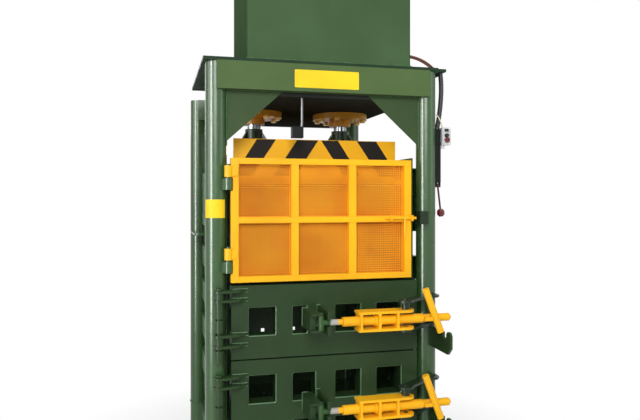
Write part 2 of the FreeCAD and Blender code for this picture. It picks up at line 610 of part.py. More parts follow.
drains = [box((x, x + " + 60"), ("cylinder_y - 30", "cylinder_y + 30"),
              ("platen_low - 1", "platen_low + platen_plate + 1"))
          for x in ("mid_x - 30", "mid_x - cylinder_out - 72", "mid_x + cylinder_out + 12")]
node("platen", cut(fuse(*platen), *drains))
for side, x in CYLINDERS:
    centre = (x, "cylinder_y")
    node("rod_socket_" + side, cut(
        fuse(bar("z", centre, "socket_foot", "platen_top", "platen_top + 12"),
             bar("z", centre, "socket_r", "platen_top", "platen_top + socket_tall"),
             *[spoke(x, 60 * k + 30) for k in range(6)]),
        bar("z", centre, "rod_r + socket_fit", "platen_top - 1", "platen_top + socket_tall + 1")))

# ---------------------------------------------------------------- front doors and hinge posts

DOORS = {
    "upper": {"low": "upper_low", "high": "upper_high", "rows": ["upper_row"],
              "short": "upper_pocket_short", "lock": "lock_z_upper", "drop": "upper_drop",
              "rise": "upper_rise", "barrel": "barrel_short"},
    "lower": {"low": "lower_low", "high": "lower_high", "rows": ["lower_row_high", "lower_row_low"],
              "short": "lower_pocket_short", "lock": "lock_z_lower", "drop": "lower_drop",
              "rise": "lower_rise", "barrel": "barrel_long"},
}
HINGE = ("hinge_x", "hinge_y")


def strap(z):
    """A hinge strap: from the door's front face round to the eye on the hinge axis."""
    outline = [("hinge_x", "hinge_y - strap_eye + 1"), ("hinge_x + 45", "hinge_y - strap_eye + 5"),
               ("strap_reach - 45", "hinge_y - 6"), ("strap_reach", "-door_half + 1"),
               ("door_left + 2", "-door_half + 1"), ("hinge_x + 22", "hinge_y + 18")]
    heights = (shifted(z, "-strap_thick / 2"), shifted(z, "strap_thick / 2"))
    return [prism("z", outline, *heights), bar("z", HINGE, "strap_eye", *heights)]


def post_plate(x, low, high):
    """The plate that welds a barrel in front of a column to that column."""
    return box((shifted(x, "-weld_plate / 2"), shifted(x, "weld_plate / 2")), ("hinge_y", "-column_r + 6"),
               (low, high))


for level, door in DOORS.items():
    low, high, lock = door["low"], door["high"], door["lock"]
    top, foot = "%s - %s" % (high, door["drop"]), "%s + %s" % (low, door["rise"])
    sleeves = [(top + " - sleeve_long", top), (foot, foot + " + sleeve_short")]
    straps = [top + " - strap_in", top + " - strap_second", foot + " + sleeve_short - strap_in",
              foot + " + strap_foot"]
    barrels = [(shifted(sleeves[0][0], "-barrel_gap - " + door["barrel"]), shifted(sleeves[0][0], "-barrel_gap")),
               (shifted(foot, "-barrel_gap - barrel_short"), shifted(foot, "-barrel_gap"))]
    skins = cut(box(("door_left", "door_right"), ("-door_half", "door_half"), (low, high)),
                box(("door_left + door_skin", "door_right - door_skin"),
                    ("door_skin - door_half", "door_half - door_skin"), (low + " - 1", high + " - door_skin")))
    parts, pockets = [skins], []
    for row in door["rows"]:
        for k in range(4):
            left = "pocket_first + %d * pocket_pitch" % k
            right = left + " + pocket_wide" + (" - " + door["short"] if k == 1 else "")
            parts.append(box((left + " - door_skin", right + " + door_skin"), ("-door_half", "door_half"),
                             (row + " - door_skin", row + " + pocket_tall + door_skin")))
            pockets.append(box((left, right), ("-door_half - 1", "door_half + 1"),
                               (row, row + " + pocket_tall")))
    for z in straps:
        parts += strap(z)
    parts += [bar("z", HINGE, "sleeve_r", *ends) for ends in sleeves]
    parts.append(box(("keeper_block_left", "keeper_block_left + keeper_block_wide"),
                     ("keeper_block_front", "-door_half + 1"),
                     (lock + " - keeper_block_half", lock + " + keeper_block_half")))
    ears = []
    for near, far in (("tee_half + ear_gap", "keeper_block_half"), ("-keeper_block_half", "-tee_half - ear_gap")):
        heights = (shifted(lock, near), shifted(lock, far))
        parts += [box(("keeper_block_left", "tee_x"), ("lock_y - lock_rod_r", "-door_half + 1"), heights),
                  bar("z", ("tee_x", "lock_y"), "lock_rod_r", *heights)]
        ears.append(bar("z", ("tee_x", "lock_y"), "tee_pin_r + pin_gap", shifted(heights[0], "-1"),
                        shifted(heights[1], "1")))
    parts.append(box(("fork_left", "fork_left + fork_thick"), ("fork_front", "-door_half + 1"),
                     (lock + " - fork_half", lock + " + fork_half")))
    slot = box(("fork_left - 1", "fork_left + fork_thick + 1"), ("fork_front - 1", "lock_y + fork_slot"),
               (lock + " - fork_slot", lock + " + fork_slot"))
    bore = bar("z", HINGE, "pin_r + pin_gap", foot + " - 1", top + " + 1")
    node("front_door_" + level, cut(fuse(*parts), slot, *ears, bore, *pockets))

    posts = [bar("z", HINGE, "pin_r", barrels[1][0], top + " + end_gap + 1"),
             bar("z", HINGE, "pin_r + 6", top + " + end_gap", top + " + end_gap + pin_cap")]
    for ends in barrels:
        posts += [bar("z", HINGE, "sleeve_r", *ends), post_plate("hinge_x", *ends)]
    node("hinge_post_" + level, cut(fuse(*posts), column_space("0", "0")))

# ---------------------------------------------------------------- door locks

for level, door in DOORS.items():
    lock = door["lock"]
    axis = ("lock_y", lock)
    node("lock_rod_" + level, fuse(
        bar("z", ("tee_x", "lock_y"), "lock_rod_r", lock + " - tee_half", lock + " + tee_half"),
        bar("z", ("tee_x", "lock_y"), "tee_pin_r", lock + " - keeper_block_half - 2",
            lock + " + keeper_block_half + 2"),
        bar("x", axis, "lock_rod_r", "tee_x", "lock_rod_end")))

    # the turning tube with its collars on both sides of the middle web, end bar, tongue and grip
    web = "web_first + web_pitch"
    grip = doc.addObject("Part::Cylinder", "grip")
    grip.Placement = FreeCAD.Placement(
        FreeCAD.Vector(), FreeCAD.Rotation(FreeCAD.Vector(0, 1, 0), -value("grip_lean")))
    grip.setExpression("Radius", expr("grip_r"))
    grip.setExpression("Height", expr("grip_long"))
    put(grip, ("grip_low_x", "lock_y - grip_off", lock + " - grip_low"))
    node("lock_sleeve_" + level, cut(
        fuse(bar("x", axis, "turn_tube_r", "turn_tube_left", "turn_tube_right"),
             bar("x", axis, "turn_bar_r", "turn_tube_right - 1", "turn_bar_end - turn_bar_edge"), grip,
             cone(TURNS["x"], "turn_bar_r", "turn_bar_r - turn_bar_edge", "turn_bar_edge",
                  ("turn_bar_end - turn_bar_edge", "lock_y", lock)),
             bar("x", axis, "collar_r", web + " - collar_gap - collar_thick", web + " - collar_gap"),
             bar("x", axis, "collar_r", web + " + cage_plate + collar_gap",
                 web + " + cage_plate + collar_gap + collar_thick"),
             box(("tongue_left", "tongue_right"), ("lock_y - grip_off", "lock_y"),
                 (lock + " - tongue_half", lock + " + tongue_half"))),
        bar("x", axis, "lock_rod_r + pin_gap", "turn_tube_left - 1", "turn_bore_end")))

    # the cage: two plates with round ends and three webs that carry the tube
    cage = []
    for low, high in (("cage_near", "cage_near + cage_plate"), ("-cage_near - cage_plate", "-cage_near")):
        heights = (shifted(lock, low), shifted(lock, high))
        cage += [box(("cage_left", "hook_pin_x"), ("lock_y - cage_half", "lock_y + cage_half"), heights),
                 bar("z", ("hook_pin_x", "lock_y"), "cage_half", *heights)]
    for k in range(3):
        start = "web_first + %d * web_pitch" % k
        cage.append(box((start, start + " + cage_plate"), ("lock_y - cage_half", "lock_y + cage_half"),
                        (lock + " - cage_near - 1", lock + " + cage_near + 1")))
    node("lock_cage_" + level, cut(
        fuse(*cage), bar("x", axis, "turn_tube_r + pin_gap", "cage_left", "hook_pin_x"),
        bar("z", ("hook_pin_x", "lock_y"), "hook_pin_r + 0.1", lock + " - cage_near - cage_plate - 1",
            lock + " + cage_near + cage_plate + 1")))

    # the two hooks: from their pin to a notch, open to the back, round the anchor on the column
    hooks = []
    for low, pin, head in (("hook_high", ("cage_near", "hook_high + cage_plate + 6"),
                            ("cage_near + cage_plate", "hook_high + 1")),
                           ("-hook_low", ("-hook_low - 6", "-cage_near"),
                            ("-hook_low - 6", "-hook_low + 1"))):
        heights = (shifted(lock, low), shifted(lock, low + " + cage_plate"))
        right, left = "anchor_x + sleeve_r + hook_fit", "anchor_x - sleeve_r - hook_fit - hook_slack"
        deep = "anchor_y - sleeve_r - hook_fit"
        outline = [("hook_pin_x + 16", "lock_y - 21"), ("anchor_x - 30", "anchor_y - 56"),
                   ("anchor_x + 20", "anchor_y - 48"), ("anchor_x + 40", "anchor_y - 25"),
                   ("anchor_x + 40", "anchor_y + 20"), (right, "anchor_y + 20"), (right, deep),
                   (left, deep), (left, "anchor_y + 12"), ("anchor_x - 50", "anchor_y + 10"),
                   ("anchor_x - 62", "anchor_y - 14"), ("hook_pin_x - 16", "lock_y + 21")]
        hooks.append(fuse(prism("z", outline, *heights),
                          bar("z", ("hook_pin_x", "lock_y"), "hook_eye", *heights),
                          bar("z", ("hook_pin_x", "lock_y"), "hook_pin_r", shifted(lock, pin[0]),
                              shifted(lock, pin[1])),
                          bar("z", ("hook_pin_x", "lock_y"), "hook_pin_r + 7", shifted(lock, head[0]),
                              shifted(lock, head[1]))))
    pair = doc.addObject("Part::Compound", "pair")
    pair.Links = hooks
    node("lock_hooks_" + level, pair)

    node("lock_anchor_" + level, cut(
        fuse(bar("z", ("anchor_x", "anchor_y"), "sleeve_r", lock + " - anchor_down", lock + " + anchor_up"),
             post_plate("anchor_x", lock + " - anchor_down + 20", lock + " + anchor_up - 30")),
        column_space("column_x", "0")))
    outline = [("-column_r + 6", lock + " - catch_drop"), ("catch_front + 34", lock + " - catch_drop"),
               ("catch_front", lock + " - catch_drop + 34"), ("catch_front", lock + " - catch_top - 14"),
               ("catch_front + 14", lock + " - catch_top"), ("fork_front - 14", lock + " - catch_top"),
               ("fork_front", lock + " - catch_top - 14"), ("fork_front", lock + " - catch_notch"),
               ("catch_notch_y", lock + " - catch_notch"), ("catch_notch_y", lock + " - catch_inner"),
               ("-column_r + 6", lock + " - catch_inner")]
    node("catch_bracket_" + level, cut(prism("x", outline, "catch_left", "catch_left + weld_plate"),
                                       column_space("column_x", "0")))

# ---------------------------------------------------------------- mesh door

MESH_HINGE = ("mesh_hinge_x", "mesh_hinge_y")
pane_x = "(mesh_right - mesh_left - 4 * stile) / 3"
pane_z = "(mesh_high - mesh_low - 3 * cross_rail) / 2"
panes = []
for column in range(3):
    left = "mesh_left + stile + %d * (stile + %s)" % (column, pane_x)
    for row in range(2):
        low = "mesh_low + cross_rail + %d * (cross_rail + %s)" % (row, pane_z)
        panes.append((left, low))
openings = [box((left, shifted(left, pane_x)), ("mesh_front - 1", "mesh_back + 1"), (low, shifted(low, pane_z)))
            for left, low in panes]
parts = [box(("mesh_left", "mesh_right"), ("mesh_front", "mesh_back"), ("mesh_low", "mesh_high"))]
rooms = []
for name, low in (("upper", "mesh_high - knuckle_down"), ("lower", "mesh_low + knuckle_up")):
    high = low + " + knuckle_tall"
    fixed = (low + " - knuckle_drop - knuckle_tall", low + " - knuckle_drop")
    parts += [bar("z", MESH_HINGE, "knuckle_r", low, high),
              prism("y", [("mesh_hinge_x + 4", low), ("mesh_left + strap_long", low + " + knuckle_tall / 2 - 5"),
                          ("mesh_left + strap_long", low + " + knuckle_tall / 2 + 5"),
                          ("mesh_hinge_x + 4", high)],
                    "mesh_front - strap_plate", "mesh_front + 1")]
    rooms += [bar("z", MESH_HINGE, "mesh_pin_r + pin_gap", low + " - 1", high + " + 1"),
              bar("z", MESH_HINGE, "knuckle_r + 1", fixed[0] + " - 3", fixed[1] + " + 3")]
    node("mesh_hinge_" + name, cut(
        fuse(bar("z", MESH_HINGE, "knuckle_r", *fixed),
             bar("z", MESH_HINGE, "mesh_pin_r", fixed[0], high + " + 8"),
             box(("mesh_hinge_x - 27", "mesh_hinge_x - 11"), ("mesh_hinge_y - 8", "mesh_hinge_y + 30"), fixed)),
        column_space("0", "0")))
bolt_axis = ("draw_bolt_y", "draw_bolt_z")
guide_z = ("draw_bolt_z - guide_half", "draw_bolt_z + guide_half")
for left, right in (("guide_left", "guide_left + guide_thick"), ("guide_right", "mesh_right")):
    parts.append(box((left, right), ("draw_bolt_y - guide_half", "mesh_front + 1"), guide_z))
rooms.append(bar("x", bolt_axis, "draw_bolt_r + pin_gap", "guide_left - 1", "mesh_right + 1"))
node("mesh_door_frame", cut(fuse(*parts), *rooms, *openings))

cell_x = "(%s + mesh_bar) / mesh_cells" % pane_x
cell_z = "(%s + mesh_bar) / mesh_cells" % pane_z
cells = int(value("mesh_cells"))
holes = []
for left, low in panes:
    for k in range(cells):
        for n in range(cells):
            x, z = "%s + %d * %s" % (left, k, cell_x), "%s + %d * %s" % (low, n, cell_z)
            holes.append(box((x, "%s + %s - mesh_bar" % (x, cell_x)), ("mesh_back - 1", "mesh_back + mesh_thick + 1"),
                             (z, "%s + %s - mesh_bar" % (z, cell_z))))
hole_group = doc.addObject("Part::Compound", "hole_group")
hole_group.Links = holes
node("mesh_sheet", cut(box(("mesh_left + mesh_lap", "mesh_right - mesh_lap"), ("mesh_back", "mesh_back + mesh_thick"),
                           ("mesh_low + mesh_lap", "mesh_high - mesh_lap")), hole_group))
node("door_bolt", fuse(
    bar("x", bolt_axis, "draw_bolt_r", "draw_bolt_left", "draw_bolt_right"),
    bar("z", ("bolt_grip_x", "draw_bolt_y"), "bolt_grip_r", "bolt_grip_low", "draw_bolt_z")))
node("bolt_keeper", cut(
    box(("keeper_left", "keeper_right"), ("keeper_front", "-column_r + 11"), ("keeper_low", "keeper_high")),
    bar("x", bolt_axis, "keeper_hole_r", "keeper_left - 1", "keeper_right + 1"), column_space("column_x", "0")))

# ---------------------------------------------------------------- controls and lines

lug_z = ("valve_low - lug_drop", "valve_low + 1")
eye = ("0", "eye_z")
eye_left, eye_right = "column_x + column_r + 5 + lug_thick", "valve_right - lug_thick + 4"
node("control_valve", cut(
    fuse(box(("valve_left", "valve_right"), ("-valve_half", "valve_half"), ("valve_low", "valve_high")),
         box((eye_left + " - lug_thick", eye_left), ("-lever_eye", "lever_eye"), lug_z),
         box((eye_right, eye_right + " + lug_thick"), ("-lever_eye", "lever_eye"), lug_z),
         box((eye_right, eye_right + " + lug_thick"), ("-lever_eye", "lever_eye"), ("valve_low - 1", "valve_low + 20")),
         bar("x", eye, "lever_pin", eye_left + " - 1", eye_right + " + 1")),
    column_space("column_x", "0")))
lever = doc.addObject("Part::Cylinder", "lever")
lever.Placement = FreeCAD.Placement(
    FreeCAD.Vector(), FreeCAD.Rotation(FreeCAD.Vector(0, 1, 0), 180 - value("lever_lean")))
lever.setExpression("Radius", expr("lever_r"))
lever.setExpression("Height", expr("lever_long"))
eye_x = "(%s + %s) / 2" % (eye_left, eye_right)
put(lever, (eye_x, "0", "eye_z"))
node("valve_lever", cut(
    fuse(bar("x", eye, "lever_eye", eye_left + " + lever_gap", eye_right + " - lever_gap"), lever),
    bar("x", eye, "lever_pin + pin_gap", eye_left + " - 1", eye_right + " + 1")))
lean = math.radians(value("lever_lean"))


def along_lever(text):
    """The place at a distance down the lever's middle line."""
    return ("%s + (%s) * (%.8f)" % (eye_x, text, math.sin(lean)), "0",
            "eye_z - (%s) * (%.8f)" % (text, math.cos(lean)))


knob_top, knob_low = "lever_long - knob_r", "lever_long + knob_r"
knob_middle = doc.addObject("Part::Cylinder", "knob_middle")
knob_middle.Placement = lever.Placement
knob_middle.setExpression("Radius", expr("knob_r"))
knob_middle.setExpression("Height", expr("2 * knob_r - 2 * knob_edge"))
put(knob_middle, along_lever(knob_top + " + knob_edge"))
tip = doc.addObject("Part::Cylinder", "tip")
tip.Placement = lever.Placement
tip.setExpression("Radius", expr("lever_r"))
tip.setExpression("Height", expr("lever_long"))
put(tip, along_lever("0"))
lever_turn = lever.Placement.Rotation
node("lever_knob", cut(fuse(
    cone(lever_turn, "knob_end_r", "knob_r", "knob_edge", along_lever(knob_top)), knob_middle,
    cone(lever_turn, "knob_r", "knob_end_r", "knob_edge", along_lever(knob_low + " - knob_edge"))), tip))

BUTTONS = (("start_button", "start_z", "start_r"), ("stop_button", "stop_z", "stop_r"))
stem_back = "button_box_front - button_travel + stem_long"
node("button_box", cut(
    fuse(box(("valve_right", "box_right"), ("button_box_front", "button_box_back"),
             ("button_box_low", "button_box_high")),
         bar("z", ("valve_right + 12", "button_box_front + 22"), "gland_nut_r", "button_box_low - gland_nut_long",
             "button_box_low + 1")),
    *[bar("y", ("button_x", z), "button_stem + pin_gap", "button_box_front - 1",
          stem_back + " + 2 * button_travel") for _, z, _ in BUTTONS]))
for name, z, radius in BUTTONS:
    node(name, fuse(
        bar("y", ("button_x", z), radius, "button_box_front - button_out", "button_box_front - button_travel"),
        bar("y", ("button_x", z), "button_stem", "button_box_front - button_travel - 1", stem_back)))

ear_room = (("column_x", ear_right), ("ear_front", "ear_back"), ("column_top", "lid_top"))
node("conduit", cut(
    hose([("conduit_x", "0", "column_top + sheet_thick"), ("conduit_bow_x", "0", "conduit_bow_z"),
          ("conduit_end_x", "0", "valve_high - sheet_thick")], "conduit_r"),
    box(*ear_room), column_space("column_x", "0"),
    box(("valve_left", "valve_right"), ("-valve_half", "valve_half"), ("valve_low", "valve_high"))))
node("hose_bundle", cut(
    hose([("house_right", "hose_y", "hose_z"), ("hose_turn_x", "hose_y", "hose_z"),
          ("hose_end_x + hose_r", "hose_y", "lid_top - hose_r")], "hose_r"),
    box(*ear_room[:2], ("column_top - 2 * hose_r", "lid_top"))))
node("signal_wire", cut(
    hose([("wire_from_x", "wire_y", "wire_from_z"), ("wire_turn_x", "wire_y", "wire_turn_z"),
          ("wire_end_x", "wire_y", "button_box_high - wire_r")], "wire_r"),
    column_space("column_x", "0"),
    box(("valve_right", "box_right"), ("button_box_front", "button_box_back"),
        ("button_box_low", "button_box_high"))))
pipe_way = [("pipe_x", "pipe_y", "deck_low"), ("pipe_x", "pipe_y", "pipe_bend_z"),
            ("pipe_end_x", "pipe_y", "pipe_end_z")]
node("oil_pipe", hose(pipe_way, "pipe_r"))
node("pipe_block", cut(
    box(("pipe_block_left", "pipe_block_left + pipe_block_wide"), ("pipe_y - 14", "pipe_y + 30"),
        ("pipe_block_low", "pipe_block_low + pipe_block_tall")),
    hose(pipe_way, "pipe_r + pipe_fit")))

# ---------------------------------------------------------------- checks and export

doc.recompute()
os.makedirs("parts", exist_ok=True)
for item in doc.Objects:
    if {"Invalid", "Error"} & set(item.State):
        raise RuntimeError("not built: " + item.Label)
for item in NODES:
    if item.Shape.isNull() or not item.Shape.isValid() or not item.Shape.Solids:
        raise RuntimeError("bad shape: " + item.Label)
    print("%-22s solids %2d  %10.0f mm3" % (item.Label, len(item.Shape.Solids), item.Shape.Volume))
    item.Shape.exportStep("parts/%s.step" % item.Label)
whole = Part.makeCompound([item.Shape for item in NODES])
print("nodes %d, box %s" % (len(NODES), whole.BoundBox))
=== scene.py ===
"""Looks of the upright recycling baler: paint, stripes, mesh, plates, welds and lines on the fixed frame."""

import math

import bmesh
import bpy
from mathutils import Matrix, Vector


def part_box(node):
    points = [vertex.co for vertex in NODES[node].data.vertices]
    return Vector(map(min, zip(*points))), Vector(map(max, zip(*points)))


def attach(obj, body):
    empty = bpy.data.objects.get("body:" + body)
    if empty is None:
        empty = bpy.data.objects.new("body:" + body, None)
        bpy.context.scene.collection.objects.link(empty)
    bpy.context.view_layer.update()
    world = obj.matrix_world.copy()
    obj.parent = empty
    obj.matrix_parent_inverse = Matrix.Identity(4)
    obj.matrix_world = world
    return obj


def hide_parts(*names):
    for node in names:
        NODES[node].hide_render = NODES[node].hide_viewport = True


bl_info = {
    "name": "Recycling Baler Looks",
    "version": (1, 0, 0),
    "blender": (4, 5, 0),
    "location": "View3D > Sidebar > Baler",
    "description": "Dresses the upright recycling baler's frame with paint, stripes, mesh, plates and lines",
    "category": "Object",
}

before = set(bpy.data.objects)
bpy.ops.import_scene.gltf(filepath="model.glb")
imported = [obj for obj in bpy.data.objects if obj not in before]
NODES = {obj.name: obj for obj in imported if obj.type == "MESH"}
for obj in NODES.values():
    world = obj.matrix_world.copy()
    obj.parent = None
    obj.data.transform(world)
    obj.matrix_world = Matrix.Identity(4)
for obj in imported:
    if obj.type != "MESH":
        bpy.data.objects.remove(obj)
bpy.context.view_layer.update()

# the grid the machine is drawn on: metres right of and behind the front left column's axis
GRID_X, GRID_Y = -0.5805, -0.541

# places on that grid in millimetres: the two columns of a row, each with the way in to the machine's middle,
# then the rear row, and the centres of the two cylinders
COLUMNS = ((0, 1), (1100, -1))
REAR_ROW = 1330
CYLINDERS = ((284, 654), (816, 654))
# height of the joint between header and gussets, and where the lock rods' steel tip and fork end stop
GUSSET_TOP = 2.0535
FORK_END, TIP_END = 514, 553

FORWARD = Vector((0, -1, 0))


def at(x, y, z):
    """A place in the frame from millimetres on the column grid."""
    return Vector((GRID_X + x / 1000, GRID_Y + y / 1000, z / 1000))


# ------------------------------------------------------------------ sizes and colours

def colour(name, description, default):
    return bpy.props.FloatVectorProperty(
        name=name, description=description, default=default, size=3, min=0, max=1, subtype="COLOR")


def length(name, description, default, least=0.0):
    return bpy.props.FloatProperty(
        name=name, description=description, default=default, min=least, unit="LENGTH")


class BALER_PG_colours(bpy.types.PropertyGroup):
    frame_green: colour("Frame green", "Gloss green of the columns, beams and walls", (0.034, 0.088, 0.026))
    header_green: colour("Header green", "Olive green of the beam over the feed door", (0.080, 0.130, 0.048))
    door_green: colour("Door green", "Darker green of the doors and locks' brackets", (0.020, 0.046, 0.014))
    # The gussets' darker green is painted shade, standing for the shade under the header.
    gusset_green: colour("Gusset green", "Green of the corner plates under the header", (0.048, 0.080, 0.034))
    # The top plate's dark green is painted shade, standing for the shade it lies in.
    lid_green: colour("Lid green", "Dark green of the folded plate over the header", (0.020, 0.042, 0.022))
    # The paler green on door edges and beads is a painted highlight where light catches them.
    edge_green: colour("Edge green", "Paler green of rubbed edges and beads on doors", (0.075, 0.165, 0.070))
    strap_green: colour("Strap green", "Darkest green of the hinge straps and hooks", (0.010, 0.024, 0.010))
    housing_green: colour("Housing green", "Green of the sheet housing on top", (0.058, 0.106, 0.048))
    yellow: colour("Yellow", "Golden yellow of the feed door, locks and hazard plate", (0.96, 0.47, 0.010))
    orange: colour("Orange", "Deeper orange of the mesh", (0.90, 0.37, 0.024))
    mesh_red: colour("Mesh red", "Redder orange of the mesh in its rubbed patches", (0.58, 0.13, 0.016))
    flange_orange: colour("Flange orange", "Yellow orange of the cylinders' flanges", (0.72, 0.34, 0.026))
    # The platform's near black green is painted shade, standing for the shade under it.
    deck_green: colour("Deck green", "Near black green under the cylinder platform", (0.036, 0.042, 0.036))
    plate_yellow: colour("Plate yellow", "Lemon yellow of the bare plate and band", (0.84, 0.60, 0.022))
    stripe_black: colour("Stripe black", "Black of the hazard stripes", (0.016, 0.013, 0.011))


class BALER_PG_sizes(bpy.types.PropertyGroup):
    mesh_pitch: length("Mesh pitch", "Distance between the holes of the feed door's mesh", 0.0117, 0.006)
    mesh_hole: length("Mesh hole", "Radius of a hole in the mesh", 0.0036, 0.001)
    bead: length("Weld bead", "Radius of a weld bead", 0.0042, 0.001)
    ripple: length("Weld ripple", "Distance between the ripples of a weld bead", 0.0085, 0.003)
    conduit_rib: length("Conduit rib", "Distance between the ribs of the conduit", 0.0075, 0.003)
    screw: length("Screw head", "Radius of a screw head on the button box", 0.0026, 0.001)
    camera_height: length("Camera height", "Height of the camera above the floor", 1.53)


def colours():
    return bpy.context.scene.baler_colours


def sizes():
    return bpy.context.scene.baler_sizes


# ------------------------------------------------------------------ nodes

def step(tree, kind, out=0, props=(), **sources):
    """A node whose inputs, named with _ for a space, are sockets to link or plain values."""
    node = tree.nodes.new(kind)
    for key, choice in props:
        setattr(node, key, choice)
    for label, source in sources.items():
        for socket in node.inputs:
            if socket.enabled and socket.name.replace(" ", "_") == label and not socket.is_linked:
                break
        else:
            raise RuntimeError("%s has no input %s" % (kind, label))
        if hasattr(source, "is_output"):
            tree.links.new(source, socket)
        else:
            socket.default_value = source
    return node.outputs[out]


def sums(tree, operation, first, second=0.0):
    """A Math node's result."""
    node = tree.nodes.new("ShaderNodeMath")
    node.operation = operation
    for socket, source in zip(node.inputs, (first, second)):
        if hasattr(source, "is_output"):
            tree.links.new(source, socket)
        else:
            socket.default_value = source
    return node.outputs[0]


# ------------------------------------------------------------------ materials

def new_material(name):
    material = bpy.data.materials.new(name)
    material.use_nodes = True
    tree = material.node_tree
    shader = tree.nodes["Principled BSDF"]
    return material, tree, shader


def object_places(tree):
    return tree.nodes.new("ShaderNodeTexCoord").outputs["Object"]


def noise(tree, scale, detail=4.0, stretch=(1, 1, 1), rough=0.55):
    """A noise on object coordinates, stretched along the axes."""
    places = step(tree, "ShaderNodeMapping", Vector=object_places(tree), Scale=stretch)
    return step(tree, "ShaderNodeTexNoise", "Fac", Vector=places, Scale=scale, Detail=detail, Roughness=rough)


def ramp(tree, value, stops):
    """A colour ramp over a value; stops are (place, colour or grey)."""
    node = tree.nodes.new("ShaderNodeValToRGB")
    tree.links.new(value, node.inputs["Fac"])
    for index, (place, shade) in enumerate(stops):
        element = node.color_ramp.elements[index] if index < 2 else node.color_ramp.elements.new(place)
        element.position = place
        element.color = (*shade, 1) if hasattr(shade, "__len__") else (shade, shade, shade, 1)
    return node.outputs["Color"]


def mixed(tree, factor, first, second):
    """The two colours or sockets mixed by a factor."""
    node = tree.nodes.new("ShaderNodeMix")
    node.data_type = "RGBA"
    sockets = (node.inputs["Factor"], node.inputs[6], node.inputs[7])
    for socket, source in zip(sockets, (factor, first, second)):
        if hasattr(source, "is_output"):
            tree.links.new(source, socket)
        elif hasattr(source, "__len__"):
            socket.default_value = (*source, 1)
        else:
            socket.default_value = source
    return node.outputs[2]


def bumped(tree, shader, height, strength, distance):
    node = tree.nodes.new("ShaderNodeBump")
    node.inputs["Strength"].default_value = strength
    node.inputs["Distance"].default_value = distance
    tree.links.new(height, node.inputs["Height"])
    tree.links.new(node.outputs["Normal"], shader.inputs["Normal"])


def shade(tint, by):
    return tuple(min(1.0, c * by) for c in tint)


def gloss_paint(name, tint, rough=(0.18, 0.34), dust=0.10, shine=0.3, flow=60.0):
    """Sprayed gloss enamel on steel: slow drift of tone, orange-peel skin, a little dust and rubbed spots."""
    material, tree, shader = new_material(name)
    drift = noise(tree, 2.4, 3)
    base = mixed(tree, ramp(tree, drift, ((0.3, 0.0), (0.72, 1.0))), shade(tint, 0.86), shade(tint, 1.12))
    grime = ramp(tree, noise(tree, 9.0, 8, (1, 1, 0.35), 0.7), ((0.52, 0.0), (0.78, dust)))
    dusty = tuple(0.55 * c + 0.45 * d for c, d in zip(tint, (0.16, 0.15, 0.12)))
    base = mixed(tree, grime, base, dusty)
    tree.links.new(base, shader.inputs["Base Color"])
    rubbed = ramp(tree, noise(tree, 14.0, 5), ((0.3, rough[0]), (0.75, rough[1])))
    tree.links.new(rubbed, shader.inputs["Roughness"])
    shader.inputs["Specular IOR Level"].default_value = shine
    bumped(tree, shader, noise(tree, flow, 2), 0.10, 0.0015)
    return material


def rubbed_paint(name, tint, deep):
    """Matt paint on punched sheet: cloudy patches of a deeper tone and fine grit."""
    material = gloss_paint(name, tint, (0.5, 0.7), 0.2, 0.05)
    tree = material.node_tree
    socket = tree.nodes["Principled BSDF"].inputs["Base Color"]
    cloud = ramp(tree, noise(tree, 3.6, 5, (1, 1, 1.3), 0.6), ((0.45, 0.0), (0.68, 0.55)))
    base = mixed(tree, cloud, socket.links[0].from_socket, deep)
    grit = ramp(tree, noise(tree, 170.0, 3), ((0.35, 0.0), (0.7, 0.4)))
    tree.links.new(mixed(tree, grit, base, shade(deep, 0.8)), socket)
    return material


def over(tree, axis, edge):
    """0 below a height or place along an object axis and 1 above it, blending over a few millimetres."""
    blur = 0.002
    place = step(tree, "ShaderNodeSeparateXYZ", axis, Vector=object_places(tree))
    return step(tree, "ShaderNodeMapRange", "Result", Value=place, From_Min=edge - blur, From_Max=edge + blur)


def repaint(name, source, tone, axis, edge):
    """A copy of a paint that has another tone below a place along an axis."""
    material = bpy.data.materials[source].copy()
    material.name = name
    tree = material.node_tree
    socket = tree.nodes["Principled BSDF"].inputs["Base Color"]
    base = socket.links[0].from_socket
    skin = mixed(tree, noise(tree, 6.0, 4), shade(tone, 0.85), shade(tone, 1.15))
    tree.links.new(mixed(tree, over(tree, axis, edge), skin, base), socket)
    return material


def worn_steel(name, tint, rough, grain=(1, 1, 30)):
    """Bare machined or plated steel with fine turning marks."""
    material, tree, shader = new_material(name)
    marks = noise(tree, 40.0, 6, grain)
    tree.links.new(mixed(tree, marks, shade(tint, 0.75), shade(tint, 1.1)), shader.inputs["Base Color"])
    tree.links.new(ramp(tree, marks, ((0.25, rough[0]), (0.8, rough[1]))), shader.inputs["Roughness"])
    shader.inputs["Metallic"].default_value = 1.0
    bumped(tree, shader, marks, 0.12, 0.0006)
    return material


def moulded(name, tint, rough=(0.35, 0.5)):
    """Moulded plastic or rubber with a fine skin."""
    material, tree, shader = new_material(name)
    skin = noise(tree, 320.0, 3)
    tree.links.new(mixed(tree, noise(tree, 12.0, 4), shade(tint, 0.88), shade(tint, 1.08)),
                   shader.inputs["Base Color"])
    tree.links.new(ramp(tree, skin, ((0.3, rough[0]), (0.7, rough[1]))), shader.inputs["Roughness"])
    bumped(tree, shader, skin, 0.15, 0.0004)
    return material


